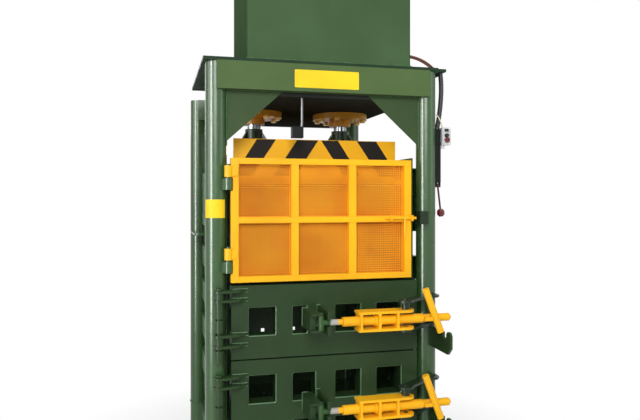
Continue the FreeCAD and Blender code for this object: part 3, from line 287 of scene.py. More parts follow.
PAINTED = {
    # the cylinder platform's near black paint is painted shade
    "deck_paint": ("cylinder_platform",),
    "frame_paint": ("column_front_left", "column_front_right", "column_rear_left", "column_rear_right",
                    "base_front", "base_rear", "rear_header",
                    "rear_wall", "left_wall", "right_wall", "chamber_floor", "mesh_hinge_upper",
                    "mesh_hinge_lower", "cylinder_barrel_left", "cylinder_barrel_right"),
    # the header piece is darker below the gusset joint: painted shade under the header
    "gusset_paint": ("front_header",),
    # the top plate's dark green is painted shade
    "lid_paint": ("top_plate",),
    "rod_paint": ("lock_rod_upper", "lock_rod_lower"),
    "door_paint": ("front_door_upper", "front_door_lower", "hinge_post_upper", "hinge_post_lower",
                   "lock_anchor_upper", "lock_anchor_lower", "catch_bracket_upper", "catch_bracket_lower",
                   "rod_socket_left", "rod_socket_right"),
    "strap_paint": ("lock_hooks_upper", "lock_hooks_lower", "bolt_keeper"),
    "housing_paint": ("power_housing",),
    "lock_yellow": ("lock_cage_upper", "lock_cage_lower", "lock_sleeve_upper", "lock_sleeve_lower",
                    "mesh_door_frame", "platen"),
    "mesh_orange": ("mesh_sheet",),
    "flange_orange": ("cylinder_flange_left", "cylinder_flange_right"),
    "tank_paint": ("oil_tank", "pump_motor", "hydraulic_pump"),
    "polished_rod": ("piston_rod_left", "piston_rod_right"),
    "bolt_brass": ("flange_bolts",),
    "bolt_yellow": ("door_bolt",),
    "lever_brown": ("valve_lever",),
    "zinc_pipe": ("oil_pipe",),
    "black_enamel": ("pipe_block", "control_valve"),
    "grey_shell": ("button_box",),
    "black_cap": ("start_button",),
    "red_cap": ("stop_button", "lever_knob"),
    "hose_rubber": ("hose_bundle",),
    "conduit_black": ("conduit",),
    "wire_cream": ("signal_wire",),
}


def make_materials():
    tints = colours()
    made = {
        "frame_paint": gloss_paint("frame_paint", tints.frame_green, (0.2, 0.3), 0.08, 0.5),
        # the platform's near black green is painted shade
        "deck_paint": gloss_paint("deck_paint", tints.deck_green, (0.5, 0.7), 0.15, 0.0),
        # the top plate's dark green is painted shade
        "lid_paint": gloss_paint("lid_paint", tints.lid_green, (0.4, 0.6), 0.1, 0.05),
        "header_paint": gloss_paint("header_paint", tints.header_green, (0.40, 0.55), 0.06, 0.05),
        "door_paint": gloss_paint("door_paint", tints.door_green, (0.30, 0.46), 0.10, 0.22),
        "strap_paint": gloss_paint("strap_paint", tints.strap_green, (0.26, 0.42), 0.10, 0.3),
        "housing_paint": gloss_paint("housing_paint", tints.housing_green, (0.45, 0.6), 0.05, 0.0),
        "lock_yellow": gloss_paint("lock_yellow", tints.yellow, (0.34, 0.5), 0.16, 0.2),
        "bolt_yellow": gloss_paint("bolt_yellow", tints.yellow, (0.3, 0.46), 0.2, 0.25),
        "mesh_orange": rubbed_paint("mesh_orange", tints.orange, tints.mesh_red),
        "flange_orange": gloss_paint("flange_orange", tints.flange_orange, (0.3, 0.5), 0.3, 0.2),
        "stripe_black": gloss_paint("stripe_black", tints.stripe_black, (0.4, 0.55), 0.2, 0.1),
        "plate_yellow": gloss_paint("plate_yellow", tints.plate_yellow, (0.4, 0.5), 0.03, 0.1),
        "weld_green": gloss_paint("weld_green", shade(tints.frame_green, 1.1), (0.22, 0.36), 0.2, 0.3, 220.0),
        "weld_dark": gloss_paint("weld_dark", shade(tints.door_green, 1.2), (0.24, 0.38), 0.2, 0.3, 220.0),
        # the paler green of door edges and beads is a painted highlight
        "edge_green": gloss_paint("edge_green", tints.edge_green, (0.14, 0.26), 0.2, 0.7, 220.0),
        "weld_yellow": gloss_paint("weld_yellow", tints.yellow, (0.3, 0.44), 0.2, 0.25, 220.0),
        "tank_paint": gloss_paint("tank_paint", (0.09, 0.10, 0.11)),
        "black_enamel": gloss_paint("black_enamel", (0.010, 0.011, 0.011), (0.34, 0.5), 0.12, 0.12),
        "lever_brown": gloss_paint("lever_brown", (0.060, 0.018, 0.020), (0.22, 0.34), 0.2, 0.3),
        "polished_rod": worn_steel("polished_rod", (0.26, 0.27, 0.28), (0.14, 0.26), (1, 1, 0.2)),
        "bolt_brass": worn_steel("bolt_brass", (0.70, 0.48, 0.16), (0.28, 0.5)),
        "bolt_steel": worn_steel("bolt_steel", (0.50, 0.49, 0.47), (0.28, 0.5)),
        "zinc_pipe": worn_steel("zinc_pipe", (0.15, 0.152, 0.155), (0.42, 0.6)),
        "grey_shell": moulded("grey_shell", (0.55, 0.56, 0.55)),
        "black_cap": moulded("black_cap", (0.012, 0.012, 0.013), (0.2, 0.35)),
        "red_cap": moulded("red_cap", (0.12, 0.008, 0.012), (0.14, 0.26)),
        "hose_rubber": moulded("hose_rubber", (0.17, 0.070, 0.050), (0.3, 0.5)),
        "conduit_black": moulded("conduit_black", (0.014, 0.019, 0.015), (0.28, 0.45)),
        "wire_cream": moulded("wire_cream", (0.62, 0.55, 0.40), (0.35, 0.5)),
    }
    # the gussets below the header are darker with painted shade, standing for the header's shade on them; a
    # lock rod is yellow, then bare steel, then its green fork end
    made["gusset_paint"] = repaint("gusset_paint", "header_paint", tints.gusset_green, "Z", GUSSET_TOP)
    tip = repaint("tip_paint", "lock_yellow", (0.42, 0.41, 0.38), "X", at(TIP_END, 0, 0).x)
    made["rod_paint"] = repaint("rod_paint", tip.name, tints.frame_green, "X", at(FORK_END, 0, 0).x)
    return made


def material(name):
    """A named finish, made with all the others the first time."""
    if name not in bpy.data.materials:
        make_materials()
    return bpy.data.materials[name]


# ------------------------------------------------------------------ mesh helpers

def new_piece(name, mesh_maker, finish, body):
    """A mesh object from a bmesh maker, finished and riding on a body."""
    mesh = bpy.data.meshes.new(name)
    work = bmesh.new()
    mesh_maker(work)
    bmesh.ops.recalc_face_normals(work, faces=work.faces)
    work.to_mesh(mesh)
    work.free()
    piece = bpy.data.objects.new(name, mesh)
    bpy.context.scene.collection.objects.link(piece)
    mesh.materials.append(material(finish))
    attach(piece, body)
    return piece


def bridge(work, rings):
    """The faces between each closed ring of corners and the next."""
    count = len(rings[0])
    return [work.faces.new((near[k], near[(k + 1) % count], far[(k + 1) % count], far[k]))
            for near, far in zip(rings, rings[1:]) for k in range(count)]


def slab(work, outline, thick):
    """A flat plate: the outline's corners pushed forward."""
    rings = [[work.verts.new(point + FORWARD * out) for point in outline] for out in (0, thick)]
    for ring in rings:
        work.faces.new(ring)
    bridge(work, rings)


def block(work, outline, front, back):
    """An upright plate from an outline of right and up places, with softened edges."""
    rings = [[work.verts.new(at(x, y, z)) for x, z in outline] for y in (front, back)]
    faces = [work.faces.new(ring) for ring in rings] + bridge(work, rings)
    bmesh.ops.recalc_face_normals(work, faces=faces)
    edges = list(dict.fromkeys(edge for face in faces for edge in face.edges))
    bmesh.ops.bevel(work, geom=edges, offset=0.0012, segments=2, affect="EDGES", profile=0.6)


def hollow(work, loops):
    """Faces between closed loops of places, the last joined to the first."""
    rings = [[work.verts.new(place) for place in loop] for loop in loops]
    bridge(work, rings + rings[:1])


def rect(left, right, low, high):
    return [(left, low), (right, low), (right, high), (left, high)]


def circle(radius, steps=32):
    return [(radius * math.cos(k * math.tau / steps), radius * math.sin(k * math.tau / steps))
            for k in range(steps)]


def square(half):
    """A square's edge, at the turns of a circle's places."""
    return [(x * (half / max(abs(x), abs(y))), y * (half / max(abs(x), abs(y)))) for x, y in circle(1)]


# ------------------------------------------------------------------ what repeats or follows a path

def new_tree(name, *inputs):
    """A Geometry Nodes tree with named inputs, one geometry input before them and one output."""
    tree = bpy.data.node_groups.new(name, "GeometryNodeTree")
    tree.interface.new_socket("Start", in_out="INPUT", socket_type="NodeSocketGeometry")
    for label, kind in inputs:
        tree.interface.new_socket(label, in_out="INPUT", socket_type="NodeSocket" + kind)
    tree.interface.new_socket("Result", in_out="OUTPUT", socket_type="NodeSocketGeometry")
    return tree, tree.nodes.new("NodeGroupInput").outputs


def close_tree(tree, geometry, finish):
    """Ends a tree in Realize Instances and Set Material."""
    whole = step(tree, "GeometryNodeRealizeInstances", Geometry=geometry)
    done = step(tree, "GeometryNodeSetMaterial", Geometry=whole, Material=finish)
    tree.links.new(done, tree.nodes.new("NodeGroupOutput").inputs[0])
    return tree


def joined(tree, *sources):
    """One geometry of several."""
    node = tree.nodes.new("GeometryNodeJoinGeometry")
    for source in sources:
        tree.links.new(source, node.inputs[0])
    return node.outputs[0]


def line_mesh(name, paths):
    """A mesh of open lines, one for each list of places."""
    mesh = bpy.data.meshes.new(name)
    points, edges = [], []
    for path in paths:
        edges += [(len(points) + k, len(points) + k + 1) for k in range(len(path) - 1)]
        points += path
    mesh.from_pydata(points, edges, [])
    return mesh


def grow(name, tree, start, body, **values):
    """Runs a tree on a start mesh and keeps the result as a plain mesh that rides on a body."""
    seed = bpy.data.objects.new(name + "_start", start)
    bpy.context.scene.collection.objects.link(seed)
    modifier = seed.modifiers.new("grow", "NODES")
    modifier.node_group = tree
    for item in tree.interface.items_tree:
        label = item.name.replace(" ", "_")
        if item.in_out == "INPUT" and label in values:
            modifier[item.identifier] = values[label]
    bpy.context.view_layer.update()
    mesh = bpy.data.meshes.new_from_object(seed.evaluated_get(bpy.context.evaluated_depsgraph_get()))
    seed.modifiers.remove(modifier)
    bpy.data.objects.remove(seed)
    if not mesh.polygons:
        raise RuntimeError("nothing grew for " + name)
    mesh.name = name
    piece = bpy.data.objects.new(name, mesh)
    bpy.context.scene.collection.objects.link(piece)
    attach(piece, body)
    return piece


def mesh_tree():
    """A flat sheet with rows of six-sided holes, thick to the front."""
    tree, given = new_tree("perforated sheet", ("Width", "Float"), ("Height", "Float"),
                           ("Pitch", "Float"), ("Hole", "Float"), ("Thickness", "Float"),
                           ("Middle", "Vector"), ("Finish", "Material"))
    _, width, height, pitch, hole, thick, middle, finish = list(given)[:8]
    counts = [sums(tree, "FLOOR", sums(tree, "DIVIDE", sums(tree, "SUBTRACT", side, pitch), pitch))
              for side in (width, height)]
    spans = [sums(tree, "MULTIPLY", sums(tree, "SUBTRACT", count, 1.0), pitch) for count in counts]
    places = step(tree, "GeometryNodeMeshGrid", Size_X=spans[0], Size_Y=spans[1],
                  Vertices_X=counts[0], Vertices_Y=counts[1])
    ring = step(tree, "GeometryNodeCurvePrimitiveCircle", Resolution=6, Radius=hole)
    holes = step(tree, "GeometryNodeRealizeInstances",
                 Geometry=step(tree, "GeometryNodeInstanceOnPoints", Points=places, Instance=ring))
    edge = step(tree, "GeometryNodeCurvePrimitiveQuadrilateral", Width=width, Height=height)
    face = step(tree, "GeometryNodeFillCurve", Curve=joined(tree, edge, holes))
    raised = step(tree, "GeometryNodeExtrudeMesh", Mesh=face, Offset_Scale=thick, Individual=False)
    back = step(tree, "GeometryNodeFlipFaces", Mesh=face)
    shut = step(tree, "GeometryNodeMergeByDistance", Geometry=joined(tree, raised, back), Distance=0.00001)
    placed = step(tree, "GeometryNodeTransform", Geometry=shut, Translation=middle,
                  Rotation=(math.radians(90), 0, 0))
    return close_tree(tree, placed, finish)


def ribbed_tree():
    """A round tube along the start's lines, swollen at a steady pitch, with closed ends."""
    tree, given = new_tree("ribbed tube", ("Radius", "Float"), ("Pitch", "Float"), ("Depth", "Float"),
                           ("Sides", "Int"), ("Finish", "Material"))
    start, radius, pitch, depth, sides, finish = list(given)[:6]
    line = step(tree, "GeometryNodeMeshToCurve", Mesh=start)
    fine = step(tree, "GeometryNodeResampleCurve", props=(("mode", "LENGTH"),), Curve=line,
                Length=sums(tree, "DIVIDE", pitch, 4.0))
    along = step(tree, "GeometryNodeSplineParameter", out=1)
    wave = sums(tree, "COSINE", sums(tree, "MULTIPLY", sums(tree, "DIVIDE", along, pitch), math.tau))
    dip = sums(tree, "MULTIPLY", sums(tree, "SUBTRACT", 1.0, wave), 0.5)
    size = sums(tree, "SUBTRACT", radius, sums(tree, "MULTIPLY", depth, dip))
    ring = step(tree, "GeometryNodeCurvePrimitiveCircle", Resolution=sides, Radius=1.0)
    tube = step(tree, "GeometryNodeCurveToMesh", Curve=fine, Profile_Curve=ring, Scale=size, Fill_Caps=True)
    smooth = step(tree, "GeometryNodeSetShadeSmooth", Geometry=tube, Shade_Smooth=True)
    return close_tree(tree, smooth, finish)


def screw_tree():
    """A low round head with a chamfered rim on each of the start's points."""
    tree, given = new_tree("screw heads", ("Radius", "Float"), ("Tall", "Float"), ("Turn", "Vector"),
                           ("Finish", "Material"))
    start, radius, tall, turn, finish = list(given)[:5]
    foot = step(tree, "GeometryNodeMeshCone", Vertices=14, Radius_Top=radius, Radius_Bottom=radius,
                Depth=sums(tree, "MULTIPLY", tall, 0.5))
    crown = step(tree, "GeometryNodeMeshCone", Vertices=14, Radius_Top=sums(tree, "MULTIPLY", radius, 0.68),
                 Radius_Bottom=radius, Depth=sums(tree, "MULTIPLY", tall, 0.5))
    up = step(tree, "ShaderNodeCombineXYZ", Z=sums(tree, "MULTIPLY", tall, 0.5))
    lifted = step(tree, "GeometryNodeTransform", Geometry=crown, Translation=up)
    head = step(tree, "GeometryNodeMergeByDistance", Geometry=joined(tree, foot, lifted), Distance=0.00001)
    spread = step(tree, "GeometryNodeInstanceOnPoints", Points=start, Instance=head, Rotation=turn)
    return close_tree(tree, spread, finish)


# ------------------------------------------------------------------ operators

def seen_white(tree):
    """1 for rays from the camera, a mirror or glass, and 0 for those that light the object."""
    rays = tree.nodes.new("ShaderNodeLightPath")
    seen = rays.outputs["Is Camera Ray"]
    for ray in ("Is Glossy Ray", "Is Transmission Ray"):
        seen = sums(tree, "MAXIMUM", seen, rays.outputs[ray])
    return seen


# each lamp's name, place, aim and size in metres, and its watts
LAMPS = (
    ("key", (-1.5, -5.8, 3.7), (0, -0.4, 1.4), (3.0, 3.0), 285),
    ("side", (-5.0, -1.2, 2.6), (0, 0, 1.6), (2.4, 2.4), 70),
    ("strip", (-4.0, -3.0, 1.9), (-0.4, -0.5, 1.5), (1.0, 4.4), 400),
    ("fill", (4.6, -3.6, 2.6), (0, -0.3, 1.3), (2.4, 2.4), 30),
    ("top", (0.4, -1.4, 6.2), (0, 0, 1.6), (3.0, 3.0), 50),
    ("rim", (-1.5, 5.0, 3.6), (0, 0, 1.5), (2.6, 2.6), 60))
# the tall strip draws the long highlights on the paint and lights nothing else
REFLECTED_ONLY = "strip"

# the photograph's camera: width, focus and upward shift in pixels, place on the grid and turn to the right
PHOTO_WIDTH, PHOTO_FOCUS, PHOTO_SHIFT = 640, 647, -12.6
EYE_PLACE, EYE_TURN = (-286, -3178), 14.3


class BALER_OT_stage(bpy.types.Operator):
    """Pale floor and backdrop, soft lamps and the camera at the photograph's angle"""
    bl_idname = "baler.stage"
    bl_label = "Stage"

    def execute(self, context):
        scene = context.scene
        scene.view_settings.view_transform = "Standard"
        pale, tree, shader = new_material("floor_pale")
        grain = noise(tree, 3.0, 5)
        shader.inputs["Roughness"].default_value = 0.8
        lit = mixed(tree, grain, (0.72, 0.72, 0.72), (0.78, 0.78, 0.78))
        tree.links.new(lit, shader.inputs["Base Color"])
        shader.inputs["Specular IOR Level"].default_value = 0.1
        # the floor keeps its shadow near the machine and turns plain white further out
        far = step(tree, "ShaderNodeVectorMath", "Value", (("operation", "LENGTH"),),
                   Vector=object_places(tree))
        spread = step(tree, "ShaderNodeMapRange", "Result", Value=far, From_Min=0.9, From_Max=1.7,
                      To_Min=0.70, To_Max=1.0)
        glow = tree.nodes.new("ShaderNodeEmission")
        blend = tree.nodes.new("ShaderNodeMixShader")
        tree.links.new(sums(tree, "MULTIPLY", seen_white(tree), spread), blend.inputs[0])
        tree.links.new(shader.outputs[0], blend.inputs[1])
        tree.links.new(glow.outputs[0], blend.inputs[2])
        tree.links.new(blend.outputs[0], tree.nodes["Material Output"].inputs["Surface"])
        work = bmesh.new()
        work.faces.new([work.verts.new((x, y, 0)) for x, y in circle(14, 48)])
        mesh = bpy.data.meshes.new("floor")
        work.to_mesh(mesh)
        work.free()
        floor = bpy.data.objects.new("floor", mesh)
        mesh.materials.append(pale)
        scene.collection.objects.link(floor)

        world = bpy.data.worlds.new("studio")
        scene.world = world
        world.use_nodes = True
        sky = world.node_tree
        back = sky.nodes["Background"]
        tone = mixed(sky, seen_white(sky), (0.23, 0.23, 0.235), (1, 1, 1))
        sky.links.new(tone, back.inputs["Color"])
        back.inputs["Strength"].default_value = 1.0

        for name, place, aim, size, power in LAMPS:
            lamp = bpy.data.lights.new(name, "AREA")
            lamp.shape = "RECTANGLE"
            lamp.size, lamp.size_y = size
            lamp.energy = power
            holder = bpy.data.objects.new(name, lamp)
            holder.location = place
            holder.rotation_euler = (Vector(aim) - Vector(place)).to_track_quat("-Z", "Y").to_euler()
            holder.visible_diffuse = name != REFLECTED_ONLY
            scene.collection.objects.link(holder)

        lens = bpy.data.cameras.new("camera")
        lens.sensor_width = 36
        lens.lens = PHOTO_FOCUS / PHOTO_WIDTH * lens.sensor_width
        lens.shift_y = PHOTO_SHIFT / PHOTO_WIDTH
        eye = bpy.data.objects.new("camera", lens)
        eye.location = at(*EYE_PLACE, 1000 * sizes().camera_height)
        eye.rotation_euler = (math.radians(90), 0, math.radians(-EYE_TURN))
        scene.collection.objects.link(eye)
        scene.camera = eye
        return {"FINISHED"}


class BALER_OT_finishes(bpy.types.Operator):
    """Paint, bare metal, plastic and rubber on the frame's own pieces"""
    bl_idname = "baler.finishes"
    bl_label = "Finishes"

    def execute(self, context):
        for finish, names in PAINTED.items():
            for name in names:
                slots = NODES[name].data.materials
                slots.clear()
                slots.append(material(finish))
        missing = [name for name in NODES if not any(name in names for names in PAINTED.values())]
        if missing:
            raise RuntimeError("no finish for %s" % missing)
        return {"FINISHED"}


class BALER_OT_hazard_stripes(bpy.types.Operator):
    """Black stripes leaning to the middle on the platen's front plate"""
    bl_idname = "baler.hazard_stripes"
    bl_label = "Hazard stripes"

    def execute(self, context):
        low, high, front = 1642, 1834, 169.9
        bands = (((228, high), (329, high), (202, low), (106, low)),
                 ((443, high), (558, high), (431, low), (316, low)),
                 ((574, high), (667, high), (794, low), (701, low)),
                 ((774, high), (883, high), (994, 1671), (994, low), (905, low)))

        def make(work):
            for band in bands:
                slab(work, [at(x, front, z) for x, z in band], 0.0007)
        new_piece("hazard_stripes", make, "stripe_black", "platen")
        return {"FINISHED"}


class BALER_OT_feed_mesh(bpy.types.Operator):
    """Perforated orange sheet behind the feed door's frame"""
    bl_idname = "baler.feed_mesh"
    bl_label = "Feed mesh"

    def execute(self, context):
        low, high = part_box("mesh_sheet")
        middle = ((low.x + high.x) / 2, high.y, (low.z + high.z) / 2)
        sheet = grow("feed_mesh", mesh_tree(), bpy.data.meshes.new("feed_mesh_start"), "mesh_door",
                     Width=high.x - low.x, Height=high.z - low.z, Pitch=sizes().mesh_pitch,
                     Hole=sizes().mesh_hole, Thickness=high.y - low.y, Middle=middle,
                     Finish=material("mesh_orange"))
        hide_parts("mesh_sheet")
        return {"FINISHED"}


# the feed door in millimetres on the grid: its edges, faces, bar widths, hinge and draw bolt
DOOR_LEFT, DOOR_RIGHT, DOOR_LOW, DOOR_HIGH, DOOR_FRONT, DOOR_BACK = 67, 995, 1118, 1721, -60, -20
STILE, RAIL = 38, 29
RAIL_FEET = (DOOR_LOW, (DOOR_LOW + DOOR_HIGH - RAIL) / 2, DOOR_HIGH - RAIL)
HINGE_X, HINGE_Y, BARREL, BORE = 55, -60, 20, 10.6
# each hinge barrel's foot, its height, and how far under it the fixed knuckle starts
BARREL_FEET, BARREL_TALL, KNUCKLE_DROP = (DOOR_HIGH - 93, DOOR_LOW + 111), 55, 7
BOLT_Y, BOLT_Z, GUIDE_HALF, GUIDE_BORE = -75, 1424, 15, 7.4


class BALER_OT_feed_door_frame(bpy.types.Operator):
    """The feed door's yellow bars with softened edges, hinge barrels, their wings and the bolt's guides"""
    bl_idname = "baler.feed_door_frame"
    bl_label = "Feed door frame"

    def execute(self, context):
        inner, outer = DOOR_LEFT + STILE, DOOR_RIGHT - STILE

        def bars(work):
            hinge_side = rect(DOOR_LEFT, inner, DOOR_LOW, DOOR_HIGH)
            for foot in BARREL_FEET:
                # room for the fixed knuckle
                top, under = foot - KNUCKLE_DROP + 3, foot - KNUCKLE_DROP - BARREL_TALL - 3
                deep = DOOR_LEFT + 10
                hinge_side += [(DOOR_LEFT, top), (deep, top), (deep, under), (DOOR_LEFT, under)]
            block(work, hinge_side, DOOR_FRONT, DOOR_BACK)
            block(work, rect(outer, DOOR_RIGHT, DOOR_LOW, DOOR_HIGH), DOOR_FRONT, DOOR_BACK)
            for foot in RAIL_FEET:
                block(work, rect(inner, outer, foot, foot + RAIL), DOOR_FRONT, DOOR_BACK)
            pane = (DOOR_RIGHT - DOOR_LEFT - 4 * STILE) / 3
            for k in (1, 2):
                side = DOOR_LEFT + k * (STILE + pane)
                for foot, top in zip(RAIL_FEET, RAIL_FEET[1:]):
                    block(work, rect(side, side + STILE, foot + RAIL, top), DOOR_FRONT, DOOR_BACK)

        def hinge_barrel(work, foot):
            top = foot + BARREL_TALL
            loops = [[at(HINGE_X + x, HINGE_Y + y, z) for x, y in circle(radius)]
                     for radius, z in ((BARREL - 1, foot), (BARREL, foot + 1), (BARREL, top - 1),
                                       (BARREL - 1, top), (BORE, top), (BORE, foot))]
            hollow(work, loops)
            wing = [(70, foot + 2), (inner - 4, foot + 8), (inner - 4, top - 8), (70, top - 2)]
            block(work, wing, DOOR_FRONT - 9, DOOR_FRONT + 0.5)

        def bolt_guide(work, near, far):
            outside, bore = square(GUIDE_HALF), circle(GUIDE_BORE)
            hollow(work, [[at(x, BOLT_Y + y, BOLT_Z + z) for y, z in places]
                          for x, places in ((near, outside), (far, outside), (far, bore), (near, bore))])

        def make(work):
            bars(work)
            for foot in BARREL_FEET:
                hinge_barrel(work, foot)
            bolt_guide(work, 872, 884)
            bolt_guide(work, 986, DOOR_RIGHT)
        piece = new_piece("feed_door_frame", make, "lock_yellow", "mesh_door")
        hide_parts("mesh_door_frame")
        return {"FINISHED"}


class BALER_OT_plates(bpy.types.Operator):
    """The bare yellow name plate on the header and the bare yellow band on the left column"""
    bl_idname = "baler.plates"
    bl_label = "Plates"

    def execute(self, context):
        left, right, low, high, front, corner = 380, 711, 2072, 2161, -62, 5

        def outline(inset):
            places = []
            for x, z, first in ((right, high, 0), (left, high, 90), (left, low, 180), (right, low, 270)):
                for k in range(5):
                    turn = math.radians(first + 22.5 * k)
                    across = corner if x == left else -corner
                    down = corner if z == low else -corner
                    places.append((x + across + (corner - inset) * math.cos(turn),
                                   z + down + (corner - inset) * math.sin(turn)))
            return places

        def plate(work):
            rings = [[work.verts.new(at(x, front - out, z)) for x, z in outline(inset)]
                     for inset, out in ((0, 0), (0, 0.9), (0.5, 1.4))]
            bridge(work, rings)
            work.faces.new(rings[0])
            work.faces.new(rings[-1])
        new_piece("name_plate", plate, "plate_yellow", "frame")

        def band(work):
            steps, first, sweep, foot, top = 28, -77, 130, 1431, 1520
            rings = []
            for radius, edge in ((51.05, 0), (51.5, 0), (51.7, 0.6)):
                ring = []
                for z, order in ((foot + edge, range(steps + 1)), (top - edge, range(steps, -1, -1))):
                    for k in order:
                        turn = math.radians(first + sweep * k / steps)
                        ring.append(work.verts.new(at(radius * math.sin(turn), -radius * math.cos(turn), z)))
                rings.append(ring)
            bridge(work, rings)
            count = len(rings[0])
            for ring in (rings[0], rings[-1]):
                for k in range(steps):
                    work.faces.new((ring[k], ring[k + 1], ring[count - 2 - k], ring[count - 1 - k]))
        new_piece("column_band", band, "plate_yellow", "frame")
        return {"FINISHED"}


def ring_line(x, y, z, radius, first=0, last=360, steps=40):
    """Places on a level arc."""
    turns = [math.radians(first + (last - first) * k / steps) for k in range(steps + 1)]
    return [(x + radius * math.cos(t), y + radius * math.sin(t), z) for t in turns]


def frame_line(left, right, low, high, y):
    """A closed upright rectangle."""
    return [(left, y, low), (right, y, low), (right, y, high), (left, y, high), (left, y, low)]


def upright(x, y, low, high):
    return [(x, y, low), (x, y, high)]


# the strap pockets: each door's rows by their feet, and how much narrower the second pocket of a row is
POCKETS = {"upper": ((855,), 60), "lower": ((525, 295), 17)}
POCKET_FIRST, POCKET_PITCH, POCKET_WIDE, POCKET_TALL = 153, 218, 136, 140
# each door's foot, top and lock height, and where its hinge straps start below the top and above the foot
FRONT_DOORS = {"upper": (745, 1102, 939, 16, 64), "lower": (241, 738, 520, 64, 59)}


def pocket_frames(level):
    """The rectangles of a door's strap pockets on its front face."""
    rows, short = POCKETS[level]
    found = []
    for row in rows:
        for k in range(4):
            left = POCKET_FIRST + POCKET_PITCH * k
            found.append((left, left + POCKET_WIDE - (short if k == 1 else 0), row, row + POCKET_TALL))
    return found


def frame_beads():
    """On the columns, side walls, base, header, housing foot and cylinders; the lists run up the machine."""
    column_ring, beam_face, front_gusset = 52.5, -56, -22
    lines = []
    for x, way in COLUMNS:
        near, first = x + way * 2, -90 if way > 0 else 180
        lines += [
            upright(near, beam_face, 2056, 2188),
            upright(x + way * 50, front_gusset, 1782, 2032),
            ring_line(x, 0, 2053, column_ring, first, first + 90, 14),
            upright(near, beam_face, 2, 138),
            ring_line(x, 0, 141, column_ring),
            [(x + way * 54, front_gusset, 2053), (x + way * 318, front_gusset, 2053)],
            ring_line(x, REAR_ROW, 141, column_ring)]
        for rail in (532, 762, 992, 1222):
            lines.append([(x + way * 50, 60, rail), (x + way * 50, 1270, rail)])
    left, right, front, back, deck = 146, 993, -60, 500, 2206.5
    lines.append([(left, front, deck), (right, front, deck), (right, back, deck), (left, back, deck),
                  (left, front, deck)])
    return lines + [ring_line(x, y, deck, 91.5) for x, y in CYLINDERS]


def post_beads():
    """On the hinge posts, the lock anchors and catch brackets, and the feed hinges' fixed knuckles."""
    lines = []
    for low, high in ((886, 946), (741, 801), (454, 534), (232, 292)):
        lines += [upright(x, -54, low + 2, high - 2) for x in (3, 17)]
    for _, _, lock, _, _ in FRONT_DOORS.values():
        lines += [upright(x, -52, lock - 174, lock - 76) for x in (1093, 1107)]
        lines += [upright(x, -55, lock - 40, lock + 68) for x in (1083, 1097)]
    for foot in (1167, 1566):
        lines += [upright(x, y, foot + 2, foot + 53) for x, y in ((27.5, -44.5), (44.5, -29.5))]
    return lines


def door_beads(level):
    """On the ends of a front door's hinge straps and round the two plates of its lock keeper."""
    low, high, lock, drop, lift = FRONT_DOORS[level]
    top, foot, face = high - drop, low + lift, -52
    straps = [[(74, face, z + edge), (149, face, z + edge)]
              for z in (top - 6, top - 50, foot + 60, foot + 9) for edge in (-7.5, 7.5)]
    return straps + [frame_line(420, 448, lock - 45, lock + 45, face),
                     frame_line(496, 511, lock - 57, lock + 57, face)]


def cage_beads(level):
    """Beside the three cross bars of a lock cage."""
    lock = FRONT_DOORS[level][2]
    first, pitch = 654, 92
    return [[(x, -266, lock + edge), (x, -190, lock + edge)]
            for k in range(3) for x in (first + pitch * k - 1, first + pitch * k + 13)
            for edge in (-34.5, 34.5)]


def feed_door_beads():
    """Where the feed door's rails and middle bars meet."""
    low, middle, high = RAIL_FEET
    lines = [upright(x, DOOR_FRONT, z + 1, z + 28) for z in RAIL_FEET
             for x in (DOOR_LEFT + STILE, DOOR_RIGHT - STILE)]
    for x in (363.7, 660.3):
        for z in (low + RAIL, middle, middle + RAIL, high):
            lines.append([(x + 1, DOOR_FRONT, z), (x + 37, DOOR_FRONT, z)])
    return lines


def weld_groups():
    """Each group of beads: name, body, finish, size against the usual bead, lines."""
    platen_beads = [[(108, 169, 1626), (992, 169, 1626)]]
    platen_beads += [ring_line(x, y, 1838, 101.5) for x, y in CYLINDERS]
    groups = [("frame_welds", "frame", "weld_green", 1.0, frame_beads()),
              ("post_welds", "frame", "weld_dark", 0.8, post_beads()),
              ("platen_welds", "platen", "weld_yellow", 0.8, platen_beads)]
    for level in FRONT_DOORS:
        # the door beads on strap ends and keeper plates carry a paler green as a painted highlight
        groups += [("door_welds_" + level, "door_" + level, "edge_green", 0.75, door_beads(level)),
                   ("cage_welds_" + level, "cage_" + level, "weld_yellow", 0.6, cage_beads(level))]
    return groups + [("feed_door_welds", "mesh_door", "weld_yellow", 0.42, feed_door_beads())]


def placed(lines):
    return [[at(*place) for place in line] for line in lines]


class BALER_OT_welds(bpy.types.Operator):
    """Rippled weld beads where the machine's plates, bars and barrels meet"""
    bl_idname = "baler.welds"
    bl_label = "Welds"

    def execute(self, context):
        tree = ribbed_tree()
        for name, body, finish, size, lines in weld_groups():
            radius = sizes().bead * size
            grow(name, tree, line_mesh(name + "_start", placed(lines)), body, Radius=radius,
                 Pitch=sizes().ripple, Depth=radius * 0.28, Sides=6, Finish=material(finish))
        return {"FINISHED"}


class BALER_OT_pocket_rims(bpy.types.Operator):
    """The rolled edge round each strap pocket of the two front doors, with a painted highlight in paler green
    along the bottom and right edges
    """
    bl_idname = "baler.pocket_rims"
    bl_label = "Pocket rims"

    def execute(self, context):
        tree = ribbed_tree()
        face = -50
        for level in FRONT_DOORS:
            # the bottom and right edges get a paler green as a painted highlight; the top and left edges keep
            # the weld green
            highlit_edges, dull = [], []
            for left, right, low, high in pocket_frames(level):
                highlit_edges.append([(left, face, low), (right, face, low), (right, face, high)])
                dull.append([(left, face, low), (left, face, high), (right, face, high)])
            for name, lines, radius, finish in (("pocket_lips_", highlit_edges, 0.0034, "edge_green"),
                                                ("pocket_rims_", dull, 0.0022, "weld_dark")):
                name += level
                start = line_mesh(name + "_start", placed(lines))
                grow(name, tree, start, "door_" + level, Radius=radius, Pitch=0.04, Depth=0.0, Sides=8,
                     Finish=material(finish))
        return {"FINISHED"}


